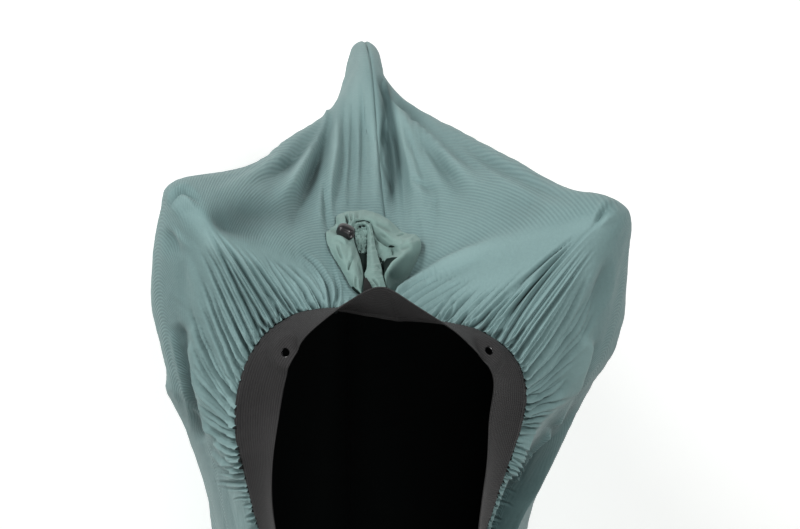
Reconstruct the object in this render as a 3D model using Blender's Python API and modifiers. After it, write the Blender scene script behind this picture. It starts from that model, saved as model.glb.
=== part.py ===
"""Stretch-knit bicycle cover with an elastic opening along its top, in the shape it takes in use.

Metres, +Z up, +Y towards the front, +X to the right. The origin is the middle of the rest under the
opening, the place the cover hangs from.
"""
import bpy
import bmesh
import numpy as np
from math import acos, atan2, cos, degrees, hypot, pi, radians, sin, sqrt
from mathutils import Matrix, Vector

# driving dimensions
CLOTH = 0.0016            # knit panel, thickness
BAND_WIDTH = 0.050        # elastic round the opening
BAND_THICK = 0.0018
SEAM_GAP = 0.00015        # each panel stops this far from the middle seam
EDGE_GAP = 0.0006         # panel edge to elastic
END_RADIUS = 0.343
EDGE_RADIUS = 0.0145
END_HEIGHT = -0.545
FRONT_END = 0.124
REAR_END = -0.860
CORNER = -50.0            # angle round the end where the front seam turns into the bottom seam
EYELET_BORE = 0.0039      # radius
EYELET_FLANGE = 0.0068
NET_COLS, NET_ROWS = 49, 25
TENSION, BENDING, HOLD = 1.0, 2.0, 120.0
EYELET_RIGHT = (11, 4)    # column and row on the elastic
EYELET_LEFT = (82, 6)
EYELET_TURN = 0.9
POUCH_LIFT = 0.0095
UP = np.array([0, 0.70, 0.71])   # away from the sloping cloth in front of the opening

# opening from its front point to its rear point: sewn edge x, y, z, then free edge x, y of the elastic
OPENING_RIGHT = [
    (0.000, 0.043, 0.035, -0.012, 0.069),
    (0.026, 0.042, 0.034, 0.008, 0.054),
    (0.053, 0.039, 0.033, 0.034, 0.037),
    (0.078, 0.034, 0.031, 0.055, 0.024),
    (0.100, 0.023, 0.027, 0.073, 0.008),
    (0.118, 0.008, 0.022, 0.089, -0.008),
    (0.130, -0.012, 0.010, 0.096, -0.023),
    (0.134, -0.034, -0.006, 0.095, -0.040),
    (0.131, -0.058, -0.021, 0.093, -0.059),
    (0.124, -0.082, -0.036, 0.093, -0.081),
    (0.115, -0.109, -0.054, 0.092, -0.106),
    (0.107, -0.135, -0.075, 0.089, -0.132),
    (0.099, -0.165, -0.097, 0.087, -0.163),
    (0.090, -0.225, -0.124, 0.082, -0.224),
    (0.083, -0.310, -0.146, 0.077, -0.310),
    (0.079, -0.410, -0.158, 0.073, -0.410),
    (0.077, -0.510, -0.160, 0.070, -0.509),
    (0.071, -0.615, -0.151, 0.060, -0.606),
    (0.043, -0.704, -0.135, 0.031, -0.684),
    (0.000, -0.726, -0.125, 0.000, -0.700),
]
OPENING_LEFT = [
    (0.000, 0.043, 0.035, -0.012, 0.069),
    (-0.026, 0.047, 0.036, -0.027, 0.068),
    (-0.052, 0.052, 0.037, -0.043, 0.059),
    (-0.079, 0.053, 0.038, -0.060, 0.048),
    (-0.107, 0.047, 0.036, -0.079, 0.034),
    (-0.134, 0.029, 0.029, -0.099, 0.017),
    (-0.153, 0.001, 0.018, -0.111, -0.006),
    (-0.163, -0.036, -0.006, -0.117, -0.034),
    (-0.163, -0.067, -0.026, -0.121, -0.060),
    (-0.158, -0.091, -0.040, -0.125, -0.083),
    (-0.151, -0.117, -0.060, -0.127, -0.109),
    (-0.143, -0.145, -0.084, -0.126, -0.138),
    (-0.134, -0.173, -0.102, -0.121, -0.170),
    (-0.117, -0.230, -0.126, -0.108, -0.228),
    (-0.098, -0.312, -0.147, -0.091, -0.311),
    (-0.086, -0.410, -0.158, -0.080, -0.410),
    (-0.080, -0.510, -0.160, -0.073, -0.509),
    (-0.072, -0.615, -0.151, -0.061, -0.606),
    (-0.043, -0.704, -0.135, -0.031, -0.684),
    (0.000, -0.726, -0.125, 0.000, -0.700),
]

# places the cloth passes over: name, side (0 both), s along the opening, t from edge to seam, |x|, y, z
SUPPORTS = [
    ("hood top", 1, 0.235, 0.25, 0.218, 0.152, 0.048),
    ("hood front", 1, 0.222, 0.29, 0.206, 0.175, 0.016),
    ("outer corner", 1, 0.252, 0.29, 0.238, 0.163, 0.010),
    ("hood side", 1, 0.265, 0.29, 0.243, 0.153, 0.012),
    ("hood inner", 1, 0.205, 0.225, 0.172, 0.145, 0.034),
    ("hood top", -1, 0.235, 0.25, 0.198, 0.150, 0.052),
    ("hood front", -1, 0.228, 0.29, 0.214, 0.187, 0.010),
    ("outer corner", -1, 0.246, 0.31, 0.231, 0.186, -0.005),
    ("hood side", -1, 0.272, 0.31, 0.236, 0.160, -0.005),
    ("hood inner", -1, 0.205, 0.220, 0.162, 0.140, 0.036),
    ("outer side", 0, 0.300, 0.33, 0.246, 0.125, -0.035),
    ("outer side low", 0, 0.325, 0.38, 0.248, 0.085, -0.095),
    ("drop front", 1, 0.370, 0.39, 0.240, 0.035, -0.120),
    ("drop front", -1, 0.370, 0.39, 0.237, 0.035, -0.120),
    ("drop end", 1, 0.440, 0.39, 0.218, -0.009, -0.130),
    ("drop end", -1, 0.440, 0.40, 0.233, -0.008, -0.135),
    ("drop inner", 1, 0.480, 0.38, 0.193, -0.050, -0.120),
    ("drop inner", -1, 0.490, 0.33, 0.198, -0.050, -0.110),
    ("flank", 1, 0.520, 0.43, 0.174, -0.102, -0.230),
    ("flank", 1, 0.555, 0.44, 0.151, -0.148, -0.270),
    ("flank", -1, 0.515, 0.50, 0.191, -0.093, -0.300),
    ("flank", -1, 0.545, 0.51, 0.177, -0.137, -0.340),
    ("side", 1, 0.480, 0.52, 0.195, -0.045, -0.300),
    ("side", -1, 0.480, 0.52, 0.205, -0.045, -0.300),
    ("side low", 0, 0.520, 0.66, 0.180, -0.110, -0.500),
    ("low side", 1, 0.600, 0.78, 0.166, -0.260, -0.600),
    ("low side", 1, 0.660, 0.78, 0.166, -0.360, -0.600),
    ("low side", -1, 0.600, 0.76, 0.160, -0.260, -0.590),
    ("low side", -1, 0.720, 0.78, 0.166, -0.570, -0.650),
    ("low side", -1, 0.770, 0.78, 0.160, -0.650, -0.640),
    ("rear side", 0, 0.900, 0.62, 0.080, -0.860, -0.550),
]
# taut lines down the cloth: side, then rows of s, t, |x|, y, z
RIDGES = [
    (1, [
        (0.222, 0.290, 0.206, 0.175, 0.016),
        (0.198, 0.325, 0.177, 0.194, -0.035),
        (0.173, 0.360, 0.148, 0.232, -0.110),
        (0.120, 0.420, 0.106, 0.284, -0.215),
        (0.070, 0.480, 0.058, 0.333, -0.300),
        (0.046, 0.530, 0.031, 0.366, -0.350),
        (0.028, 0.570, 0.016, 0.401, -0.395),
    ]),
    (-1, [
        (0.228, 0.290, 0.214, 0.187, 0.010),
        (0.185, 0.350, 0.142, 0.234, -0.125),
        (0.120, 0.425, 0.100, 0.285, -0.225),
        (0.075, 0.510, 0.053, 0.338, -0.325),
        (0.056, 0.555, 0.034, 0.374, -0.385),
        (0.038, 0.585, 0.024, 0.406, -0.415),
    ]),
    (1, [
        (0.000, 0.020, 0.000, 0.056, 0.018),
        (0.000, 0.250, 0.000, 0.203, -0.154),
        (0.000, 0.480, 0.000, 0.349, -0.305),
    ]),
]
# valleys gathered between the elastic and a hood or the front end:
# side, s at the edge, s and t at the far end, depth, width in s
VALLEYS = [
    (1, 0.030, 0.012, 0.30, 0.0040, 0.012),
    (1, 0.075, 0.030, 0.38, 0.0060, 0.016),
    (1, 0.120, 0.120, 0.27, 0.0045, 0.014),
    (1, 0.165, 0.185, 0.20, 0.0045, 0.014),
    (1, 0.215, 0.222, 0.19, 0.0050, 0.015),
    (1, 0.265, 0.236, 0.20, 0.0055, 0.015),
    (1, 0.315, 0.250, 0.20, 0.0060, 0.016),
    (1, 0.365, 0.262, 0.20, 0.0055, 0.015),
    (1, 0.415, 0.280, 0.21, 0.0055, 0.016),
    (1, 0.470, 0.310, 0.22, 0.0050, 0.016),
    (1, 0.525, 0.400, 0.26, 0.0045, 0.016),
    (-1, 0.035, 0.015, 0.34, 0.0045, 0.013),
    (-1, 0.080, 0.060, 0.30, 0.0055, 0.016),
    (-1, 0.130, 0.150, 0.22, 0.0050, 0.015),
    (-1, 0.180, 0.200, 0.19, 0.0055, 0.015),
    (-1, 0.228, 0.222, 0.18, 0.0060, 0.016),
    (-1, 0.278, 0.238, 0.19, 0.0055, 0.015),
    (-1, 0.330, 0.252, 0.20, 0.0060, 0.017),
    (-1, 0.385, 0.268, 0.20, 0.0055, 0.016),
    (-1, 0.440, 0.300, 0.21, 0.0050, 0.016),
    (-1, 0.500, 0.360, 0.24, 0.0045, 0.016),
]

# storage pouch lying open in front of the opening, from its left foot over the top to its right foot:
# inner edge x, y, ridge x, y, height of the ridge, outer edge x, y
POUCH = [
    (-0.033, 0.076, -0.035, 0.075, 0.004, -0.037, 0.074),
    (-0.033, 0.093, -0.040, 0.094, 0.008, -0.048, 0.094),
    (-0.034, 0.123, -0.046, 0.121, 0.011, -0.060, 0.118),
    (-0.038, 0.143, -0.050, 0.143, 0.010, -0.066, 0.142),
    (-0.042, 0.155, -0.052, 0.158, 0.008, -0.061, 0.160),
    (-0.041, 0.164, -0.048, 0.170, 0.008, -0.053, 0.175),
    (-0.035, 0.168, -0.037, 0.175, 0.009, -0.039, 0.182),
    (-0.029, 0.170, -0.028, 0.178, 0.010, -0.028, 0.185),
    (-0.021, 0.168, -0.018, 0.177, 0.011, -0.016, 0.185),
    (-0.016, 0.160, -0.009, 0.170, 0.012, -0.003, 0.178),
    (-0.014, 0.147, -0.003, 0.157, 0.013, 0.008, 0.165),
    (-0.012, 0.132, 0.004, 0.145, 0.014, 0.019, 0.154),
    (-0.011, 0.118, 0.008, 0.135, 0.016, 0.030, 0.148),
    (-0.010, 0.104, 0.006, 0.122, 0.017, 0.030, 0.129),
    (-0.009, 0.095, 0.001, 0.106, 0.015, 0.022, 0.106),
    (-0.008, 0.086, -0.003, 0.093, 0.010, 0.010, 0.090),
    (-0.007, 0.080, -0.005, 0.082, 0.005, -0.002, 0.080),
]


def catmull(rows, u):
    """Smooth curve through the rows, read at parameter u from 0 to the last row."""
    p = np.asarray(rows, float)
    u = np.clip(np.asarray(u, float), 0, len(p) - 1)
    k = np.minimum(u.astype(int), len(p) - 2)
    t = (u - k)[..., None]
    q = np.concatenate([2 * p[:1] - p[1:2], p, 2 * p[-1:] - p[-2:-1]])
    a, b, c, d = q[k], q[k + 1], q[k + 2], q[k + 3]
    return 0.5 * (2 * b + (c - a) * t + (2 * a - 5 * b + 4 * c - d) * t ** 2 + (3 * b - a - 3 * c + d) * t ** 3)


def along(rows):
    """Share of the length at each row."""
    d = np.concatenate([[0], np.cumsum(np.linalg.norm(np.diff(np.array(rows), axis=0), axis=1))])
    return d / d[-1]


def end_point(centre, angle):
    r = END_RADIUS + 0.002
    return np.array([0, centre + r * cos(radians(angle)), END_HEIGHT + r * sin(radians(angle))])


def end_seam(apex, centre, sign):
    """Middle seam at one end: straight from the opening to the round end, then along it. Returns rows, free rows."""
    dy, dz = apex[1] - centre, apex[2] - END_HEIGHT
    touch = degrees(atan2(dz, dy)) - sign * degrees(acos((END_RADIUS + 0.002) / hypot(dy, dz)))
    last = CORNER if sign > 0 else 180 - CORNER
    start = end_point(centre, touch)
    free = [apex * (1 - f) + start * f for f in np.linspace(0, 1, 9)[:-1]]
    return free + [end_point(centre, a) for a in np.linspace(touch, last, 11)], len(free)


def bottom_seam():
    low_f, low_r = end_point(FRONT_END, -90), end_point(REAR_END, -90)
    rows = [end_point(FRONT_END, a) for a in np.linspace(CORNER, -90, 5)]
    rows += [low_f * (1 - f) + low_r * f + np.array([0, 0, 0.03 * sin(pi * f)]) for f in np.linspace(0.1, 0.9, 9)]
    return rows + [end_point(REAR_END, a) for a in np.linspace(-90, -180 - CORNER, 5)]


def net_ids():
    """Knot numbers of both sides. The two sides share the knots along the middle seam."""
    ids = np.arange(2 * NET_COLS * NET_ROWS).reshape(2, NET_COLS, NET_ROWS)
    ids[1, 0], ids[1, -1], ids[1, :, -1] = ids[0, 0], ids[0, -1], ids[0, :, -1]
    used, flat = np.unique(ids, return_inverse=True)
    return flat.reshape(ids.shape), len(used)


def stretched_net():
    """Knots of the taut cloth: fixed along opening and seam, held at the supports, even in between."""
    ids, count = net_ids()
    s = np.linspace(0, 1, NET_COLS)
    fixed = {}
    for k, rows in enumerate((OPENING_LEFT, OPENING_RIGHT)):
        edge = catmull([r[:3] for r in rows], s * (len(rows) - 1))
        fixed.update(zip(ids[k, :, 0], edge))
    for centre, row, sign, col in ((FRONT_END, OPENING_RIGHT[0], 1, 0), (REAR_END, OPENING_RIGHT[-1], -1, -1)):
        rows, free = end_seam(np.array(row[:3]), centre, sign)
        u = np.interp(np.linspace(0, 1, NET_ROWS), along(rows), np.arange(len(rows)))
        for j, p in enumerate(catmull(rows, u)):
            if u[j] > free - 0.01:
                fixed[ids[0, col, j]] = p
    rows = bottom_seam()
    u = np.interp(np.interp(s, [0, 0.3, 0.667, 1], [0, 0.16, 0.40, 1.0]), along(rows), np.arange(len(rows)))
    fixed.update(zip(ids[0, :, -1], catmull(rows, u)))

    held = []
    for k, side in enumerate((-1, 1)):
        for name, which, a, t, x, y, z in SUPPORTS:
            if which in (0, side):
                held.append((k, a, t, (side * x, y, z)))
        for which, rows in RIDGES:
            if which == side:
                for a, t, x, y, z in catmull(rows, np.arange(0, len(rows) - 0.99, 0.25)):
                    held.append((k, a, t, (side * x, y, z)))

    near = [set() for _ in range(count)]
    for k in range(2):
        for a, b in ((ids[k, :-1], ids[k, 1:]), (ids[k, :, :-1], ids[k, :, 1:])):
            for u, v in zip(a.ravel(), b.ravel()):
                near[u].add(v)
                near[v].add(u)
    most = max(len(q) for q in near)
    near = np.array([sorted(q) + [count] * (most - len(q)) for q in near])
    degree = (near < count).sum(1)[:, None]
    spots, shares, goals = [], [], []
    for k, a, t, p in held:
        u, v = a * (NET_COLS - 1), t * (NET_ROWS - 1)
        i, j = min(int(u), NET_COLS - 2), min(int(v), NET_ROWS - 2)
        fu, fv = u - i, v - j
        spots.append([ids[k, i, j], ids[k, i + 1, j], ids[k, i, j + 1], ids[k, i + 1, j + 1]])
        shares.append([(1 - fu) * (1 - fv), fu * (1 - fv), (1 - fu) * fv, fu * fv])
        goals.append(p)
    spots, shares, goals = np.array(spots), np.array(shares)[..., None], np.array(goals)

    def uneven(x):
        return degree * x - np.concatenate([x, np.zeros((1, 3))])[near].sum(1)

    def strain(x, goal):
        """Pull on each knot: how uneven the net is there, and how far it is off its supports."""
        first = uneven(x)
        pull = TENSION * first + BENDING * uneven(first)
        off = (shares * x[spots]).sum(1) - goal
        np.add.at(pull, spots, HOLD * shares * off[:, None])
        return pull

    knots = np.zeros((count, 3))
    knots[list(fixed)] = list(fixed.values())
    loose = np.ones((count, 1))
    loose[list(fixed)] = 0
    rest = -strain(knots, goals) * loose
    step, size = rest.copy(), (rest * rest).sum(0)
    for _ in range(1500):
        bent = strain(step, 0 * goals) * loose
        share = size / ((step * bent).sum(0) + 1e-30)
        knots += share * step
        rest -= share * bent
        new = (rest * rest).sum(0)
        step = rest + new / (size + 1e-30) * step
        size = new
        if size.max() < 1e-14:
            break
    return knots[ids]


def read_net(net, k, s, t):
    """Smooth surface through side k of the net at grids s and t. The far side continues it past the seam."""
    g, o = net[k], net[1 - k]
    p = np.zeros((NET_COLS + 2, NET_ROWS + 2, 3))
    p[1:-1, 1:-1] = g
    p[0, 1:-1], p[-1, 1:-1], p[1:-1, -1] = o[1], o[-2], o[:, -2]
    p[1:-1, 0] = 2 * g[:, 0] - g[:, 1]
    p[0, 0], p[-1, 0] = 2 * p[0, 1] - p[0, 2], 2 * p[-1, 1] - p[-1, 2]
    p[0, -1], p[-1, -1] = o[1, -2], o[-2, -2]

    def weights(x, n):
        u = np.clip(x, 0, 1) * (n - 1)
        i = np.minimum(u.astype(int), n - 2)
        f = u - i
        return i, 0.5 * np.stack([-f + 2 * f ** 2 - f ** 3, 2 - 5 * f ** 2 + 3 * f ** 3,
                                  f + 4 * f ** 2 - 3 * f ** 3, -f ** 2 + f ** 3], -1)
    i, wi = weights(s, NET_COLS)
    j, wj = weights(t, NET_ROWS)
    out = np.zeros(s.shape + (3,))
    for a in range(4):
        for b in range(4):
            out += (wi[..., a] * wj[..., b])[..., None] * p[i + a, j + b]
    return out


def round_ends(p, side):
    """Cloth near an end lies round its narrow rim."""
    ring = END_RADIUS + 0.002 - EDGE_RADIUS
    for centre in (FRONT_END, REAR_END):
        dy, dz = p[..., 1] - centre, p[..., 2] - END_HEIGHT
        rho = np.hypot(dy, dz) + 1e-9
        k = rho - ring
        dist = np.hypot(k, p[..., 0]) + 1e-9
        grow = np.where((k > 0) & (dist < EDGE_RADIUS), EDGE_RADIUS / dist, 1)
        new = ring + k * grow
        p[..., 0] *= grow
        p[..., 1] = np.where(k > 0, centre + dy * new / rho, p[..., 1])
        p[..., 2] = np.where(k > 0, END_HEIGHT + dz * new / rho, p[..., 2])
        near = (k <= 0) & (k > -0.25) & (np.abs(p[..., 0]) < EDGE_RADIUS)
        p[..., 0] = np.where(near, side * EDGE_RADIUS, p[..., 0])
    return p


def surface_normals(p, side):
    du, dv = np.gradient(p, axis=0), np.gradient(p, axis=1)
    n = np.cross(du, dv) * side
    return n / (np.linalg.norm(n, axis=-1, keepdims=True) + 1e-12)


def smooth_step(x):
    x = np.clip(x, 0, 1)
    return x * x * (3 - 2 * x)


def fold_height(side, s, t):
    """Depth of the gathers and tension folds, along the normal."""
    h = np.zeros(s.shape)
    for which, edge, far_s, far_t, depth, width in VALLEYS:
        if which == side:
            f = t / far_t
            middle = edge + (far_s - edge) * f
            w = width * (1 - 0.55 * np.clip(f, 0, 1))
            fade = smooth_step(f / 0.12) * smooth_step((1.08 - f) / 0.45)
            d = (s - middle) / w
            h += depth * fade * (0.45 * np.exp(-((np.abs(d) - 1.35) / 0.75) ** 2) - np.exp(-d * d))
    return h


def panel_points(net, k, s_rows, t_rows):
    side = (-1, 1)[k]
    s, t = np.meshgrid(s_rows, t_rows, indexing="ij")
    p = round_ends(read_net(net, k, s, t), side)
    n = surface_normals(p, side)
    n[0, :, 0] = n[-1, :, 0] = n[:, -1, 0] = 0
    flat = np.linalg.norm(n, axis=-1, keepdims=True) < 0.05
    outward = (p - np.array([0, -0.36, -0.5])) * np.array([0, 1, 1])
    n = np.where(flat, outward, n)
    n /= np.linalg.norm(n, axis=-1, keepdims=True)
    return p + n * fold_height(side, s, t)[..., None], n


def band_points(net, f_rows):
    """Loop of elastic, front point round the right side to the rear point and back along the left."""
    loop = []
    for k, rows, s in ((1, OPENING_RIGHT, np.linspace(0, 1, 49)), (0, OPENING_LEFT, np.linspace(1, 0, 49))):
        sewn = read_net(net, k, s, 0 * s)
        free = np.zeros_like(sewn)
        free[:, :2] = catmull([r[3:] for r in rows], s * (len(rows) - 1))
        run = np.linalg.norm(free[:, :2] - sewn[:, :2], axis=1)
        free[:, 2] = sewn[:, 2] + np.sqrt(np.maximum(BAND_WIDTH ** 2 - run ** 2, 0.012 ** 2))
        loop.append((sewn[:-1], free[:-1]))
    sewn, free = (np.concatenate([loop[0][m], loop[1][m]]) for m in (0, 1))
    for _ in range(2):
        free[:] = (np.roll(free, 1, 0) + 2 * free + np.roll(free, -1, 0)) / 4
    across = free - sewn
    start = EDGE_GAP + 0.0012
    f = np.array(f_rows)[None, :, None]
    bow = 0.0025 * np.sin(pi * f)
    p = sewn[:, None] + across[:, None] * (start / BAND_WIDTH + f * (1 - start / BAND_WIDTH))
    n = np.cross(np.roll(p, -1, 0) - np.roll(p, 1, 0), across[:, None] + 0 * p)
    n /= np.linalg.norm(n, axis=-1, keepdims=True)
    return p + n * bow, n


def link(collection, name, mesh, material):
    obj = bpy.data.objects.new(name, mesh)
    mesh.materials.append(material)
    collection.objects.link(obj)
    return obj


def material(name, colour, roughness, metallic=0.0):
    m = bpy.data.materials.new(name)
    m.use_nodes = True
    node = m.node_tree.nodes["Principled BSDF"]
    node.inputs["Base Color"].default_value = (*colour, 1)
    node.inputs["Roughness"].default_value = roughness
    node.inputs["Metallic"].default_value = metallic
    return m


def sheet_mesh(name, outer, inner, closed=False):
    """Closed solid between two equal grids of points: both faces and the rim between them."""
    ns, nt = outer.shape[:2]
    verts = np.concatenate([outer.reshape(-1, 3), inner.reshape(-1, 3)])
    half = ns * nt
    faces = []
    cols = ns if closed else ns - 1
    for i in range(cols):
        for j in range(nt - 1):
            a, b = i * nt + j, ((i + 1) % ns) * nt + j
            faces.append((a, b, b + 1, a + 1))
            faces.append((half + a, half + a + 1, half + b + 1, half + b))
    for i in range(cols):
        for j, flip in ((0, False), (nt - 1, True)):
            a, b = i * nt + j, ((i + 1) % ns) * nt + j
            quad = (a, half + a, half + b, b)
            faces.append(quad[::-1] if flip else quad)
    if not closed:
        for i, flip in ((0, True), (ns - 1, False)):
            for j in range(nt - 1):
                a = i * nt + j
                quad = (a, half + a, half + a + 1, a + 1)
                faces.append(quad[::-1] if flip else quad)
    mesh = bpy.data.meshes.new(name)
    mesh.from_pydata([tuple(v) for v in verts], [], faces)
    bm = bmesh.new()
    bm.from_mesh(mesh)
    bmesh.ops.triangulate(bm, faces=bm.faces)
    bmesh.ops.recalc_face_normals(bm, faces=bm.faces)
    if bm.calc_volume(signed=True) < 0:
        bmesh.ops.reverse_faces(bm, faces=bm.faces)
    bm.to_mesh(mesh)
    bm.free()
    for face in mesh.polygons:
        face.use_smooth = True
    return mesh


def build_panel(collection, net, k, name, colour):
    side = (-1, 1)[k]
    s_rows = np.concatenate([[0, 0.004, 0.009, 0.016, 0.026], np.arange(0.038, 0.66, 0.0125),
                             np.linspace(0.68, 0.95, 10), [0.97, 0.985, 1.0]])
    t_rows = [0, 0.025, 0.065, 0.11, 0.16, 0.21, 0.265, 0.33, 0.41, 0.50, 0.60, 0.70, 0.80, 0.90, 0.965, 1.0]
    p, n = panel_points(net, k, s_rows, np.array(t_rows))
    outer, inner = p + n * CLOTH / 2, p - n * CLOTH / 2
    for g in (outer, inner):
        g[..., 0] = side * np.maximum(side * g[..., 0], SEAM_GAP)
        g[0, :, 0] = g[-1, :, 0] = g[:, -1, 0] = side * SEAM_GAP
    return link(collection, name, sheet_mesh(name, outer, inner), material(name, colour, 0.75))


def band_place(net, eyelet):
    """Middle of an eyelet and its axis: the elastic's normal, turned up by the grip of the eyelet."""
    p, n = band_points(net, np.linspace(0, 1, 9))
    i, j = eyelet
    axis = n[i, j] + np.array([0, 0, EYELET_TURN * np.sign(n[i, j, 2])])
    return p[i, j], axis / np.linalg.norm(axis)


def pressed_band(net, f_rows):
    """The elastic, pressed flat where an eyelet grips it."""
    p, n = band_points(net, f_rows)
    for spot in (EYELET_RIGHT, EYELET_LEFT):
        middle, axis = band_place(net, spot)
        w = smooth_step((0.024 - np.linalg.norm(p - middle, axis=-1)) / 0.012)[..., None]
        p = p - w * ((p - middle) @ axis)[..., None] * axis
        n = n * (1 - w) + axis * w
        n /= np.linalg.norm(n, axis=-1, keepdims=True)
    return p, n


def turned(name, profile, steps, collection, mat, place, axis):
    """Profile of radius and height turned about the axis at the place."""
    mesh = bpy.data.meshes.new(name)
    count = len(profile)
    mesh.from_pydata([(r, 0, z) for r, z in profile], [(i, (i + 1) % count) for i in range(count)], [])
    obj = link(collection, name, mesh, mat)
    screw = obj.modifiers.new("Turn", "SCREW")
    screw.steps = screw.render_steps = steps
    screw.use_merge_vertices = True
    screw.merge_threshold = 0.00001
    obj.rotation_euler = axis.to_track_quat("Z", "Y").to_euler()
    obj.location = place
    return obj


def ground_under(net):
    """Height of the cloth in front of the opening as a smooth function of x and y."""
    spots = []
    for k in range(2):
        s, t = np.meshgrid(np.linspace(0, 0.12, 24), np.linspace(0, 0.3, 40), indexing="ij")
        spots.append(read_net(net, k, s, t).reshape(-1, 3))
    q = np.concatenate(spots)
    q = q[(np.abs(q[:, 0] + 0.015) < 0.060) & (q[:, 1] > 0.055) & (q[:, 1] < 0.19)]
    terms = lambda x, y: np.stack([1 + 0 * x, x, y, x * x, x * y, y * y, x ** 3, x * x * y, x * y * y, y ** 3,
                                   x ** 4, x ** 3 * y, x * x * y * y], -1)
    c = np.linalg.lstsq(terms(q[:, 0], q[:, 1]), q[:, 2], rcond=None)[0]
    return lambda x, y: terms(x, y) @ c


def pouch_points(net, cols, v):
    """Grid over the pouch: columns along its arch, v from -1 at its inner edge to 1 at its outer edge."""
    ground = ground_under(net)
    tab = catmull(POUCH, np.linspace(0, len(POUCH) - 1, cols))
    v = v[None, :]
    inner, ridge, outer = tab[:, 0:2], tab[:, 2:4], tab[:, 5:7]
    w = np.abs(v)[..., None]
    xy = np.where(v[..., None] < 0, ridge[:, None] * (1 - w) + inner[:, None] * w,
                  ridge[:, None] * (1 - w) + outer[:, None] * w)
    h = tab[:, 4:5] * (1 - np.abs(v) ** 1.6)
    z = ground(xy[..., 0], xy[..., 1]) + POUCH_LIFT + h
    return np.concatenate([xy, z[..., None]], -1)


def main():
    for old in list(bpy.data.objects):
        bpy.data.objects.remove(old, do_unlink=True)
    parts = bpy.data.collections.new("bicycle_cover")
    tools = bpy.data.collections.new("cutters")
    bpy.context.scene.collection.children.link(parts)
    bpy.context.scene.collection.children.link(tools)
    net = stretched_net()
    build_panel(parts, net, 0, "panel_left", (0.24, 0.35, 0.34))
    build_panel(parts, net, 1, "panel_right", (0.24, 0.35, 0.34))

    p, n = pressed_band(net, np.linspace(0, 1, 6))
    band = link(parts, "elastic_band", sheet_mesh("elastic_band", p + n * BAND_THICK / 2, p - n * BAND_THICK / 2, True),
                material("elastic", (0.03, 0.03, 0.03), 0.8))
    metal = material("black_metal", (0.02, 0.02, 0.02), 0.35, 0.8)
    for name, spot in (("eyelet_right", EYELET_RIGHT), ("eyelet_left", EYELET_LEFT)):
        place, axis = (Vector(q) for q in band_place(net, spot))
        wall, half, lip = EYELET_BORE + 0.0007, BAND_THICK / 2, 0.0006
        gap = 0.0006
        turned(name, [(EYELET_FLANGE, half + gap + lip), (EYELET_FLANGE, half + gap), (wall, half + gap),
                      (wall, -half - gap), (EYELET_FLANGE - 0.0006, -half - gap),
                      (EYELET_FLANGE - 0.0006, -half - gap - lip), (EYELET_BORE, -half - gap - lip),
                      (EYELET_BORE, half + gap + lip)], 20, parts, metal, place, axis)
        mesh = bpy.data.meshes.new("bore_" + name)
        bm = bmesh.new()
        bmesh.ops.create_cone(bm, cap_ends=True, segments=20, radius1=wall + 0.0005, radius2=wall + 0.0005, depth=0.012)
        bm.to_mesh(mesh)
        bm.free()
        cutter = bpy.data.objects.new("bore_" + name, mesh)
        cutter.rotation_euler = axis.to_track_quat("Z", "Y").to_euler()
        cutter.location = place
        cutter.display_type = "WIRE"
        cutter.hide_render = True
        tools.objects.link(cutter)
        cut = band.modifiers.new("Bore", "BOOLEAN")
        cut.object = cutter
        cut.operation = "DIFFERENCE"

    cloth = material("pouch_cloth", (0.27, 0.38, 0.35), 0.7)
    top = pouch_points(net, 41, np.linspace(-1, 1, 7))
    link(parts, "pouch", sheet_mesh("pouch", top, top - UP * 0.0018), cloth)
    hem = pouch_points(net, 49, np.linspace(-1, -0.15, 5))[16:]
    dome = 0.0016 * np.sin(np.linspace(0, pi, 5))[None, :, None]
    link(parts, "pouch_casing", sheet_mesh("pouch_casing", hem + UP * (0.0030 + dome), hem + UP * 0.0010), cloth)

    ground = ground_under(net)
    black = material("black_plastic", (0.02, 0.02, 0.02), 0.4)
    for name, x, y, lift, spin, size, round_edge in (
            ("cord_lock", -0.045, 0.153, 0.036, 35, (0.017, 0.013, 0.012), 0.0035),
            ("pouch_tab", -0.028, 0.088, 0.009, 12, (0.008, 0.014, 0.0014), 0.0)):
        mesh = bpy.data.meshes.new(name)
        bm = bmesh.new()
        bmesh.ops.create_cube(bm, size=1)
        bmesh.ops.scale(bm, vec=size, verts=bm.verts)
        if round_edge:
            bmesh.ops.bevel(bm, geom=bm.edges[:], offset=round_edge, segments=3, profile=0.5, affect="EDGES")
        bm.to_mesh(mesh)
        bm.free()
        obj = link(parts, name, mesh, black)
        obj.rotation_euler = (radians(-47), 0, radians(spin))
        obj.location = (x, y, ground(x, y) + lift)


main()
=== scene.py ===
from math import acos, atan2, cos, degrees, hypot, pi, radians, sin

import bmesh
import bpy
import numpy as np
from mathutils import Matrix, Vector


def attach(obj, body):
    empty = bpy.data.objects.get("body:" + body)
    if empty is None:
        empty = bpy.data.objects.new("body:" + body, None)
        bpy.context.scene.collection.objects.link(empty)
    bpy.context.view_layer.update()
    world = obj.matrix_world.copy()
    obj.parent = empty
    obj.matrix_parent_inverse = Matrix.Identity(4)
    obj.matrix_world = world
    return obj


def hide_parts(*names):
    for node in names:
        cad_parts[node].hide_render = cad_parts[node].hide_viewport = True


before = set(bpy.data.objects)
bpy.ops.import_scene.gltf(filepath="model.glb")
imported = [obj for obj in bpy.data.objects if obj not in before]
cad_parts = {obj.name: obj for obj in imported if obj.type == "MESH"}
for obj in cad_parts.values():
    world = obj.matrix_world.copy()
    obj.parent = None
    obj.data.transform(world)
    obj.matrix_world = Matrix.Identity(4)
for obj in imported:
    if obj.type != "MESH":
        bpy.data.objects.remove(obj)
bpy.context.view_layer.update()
print("frame loaded")

# camera, floor and light

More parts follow.
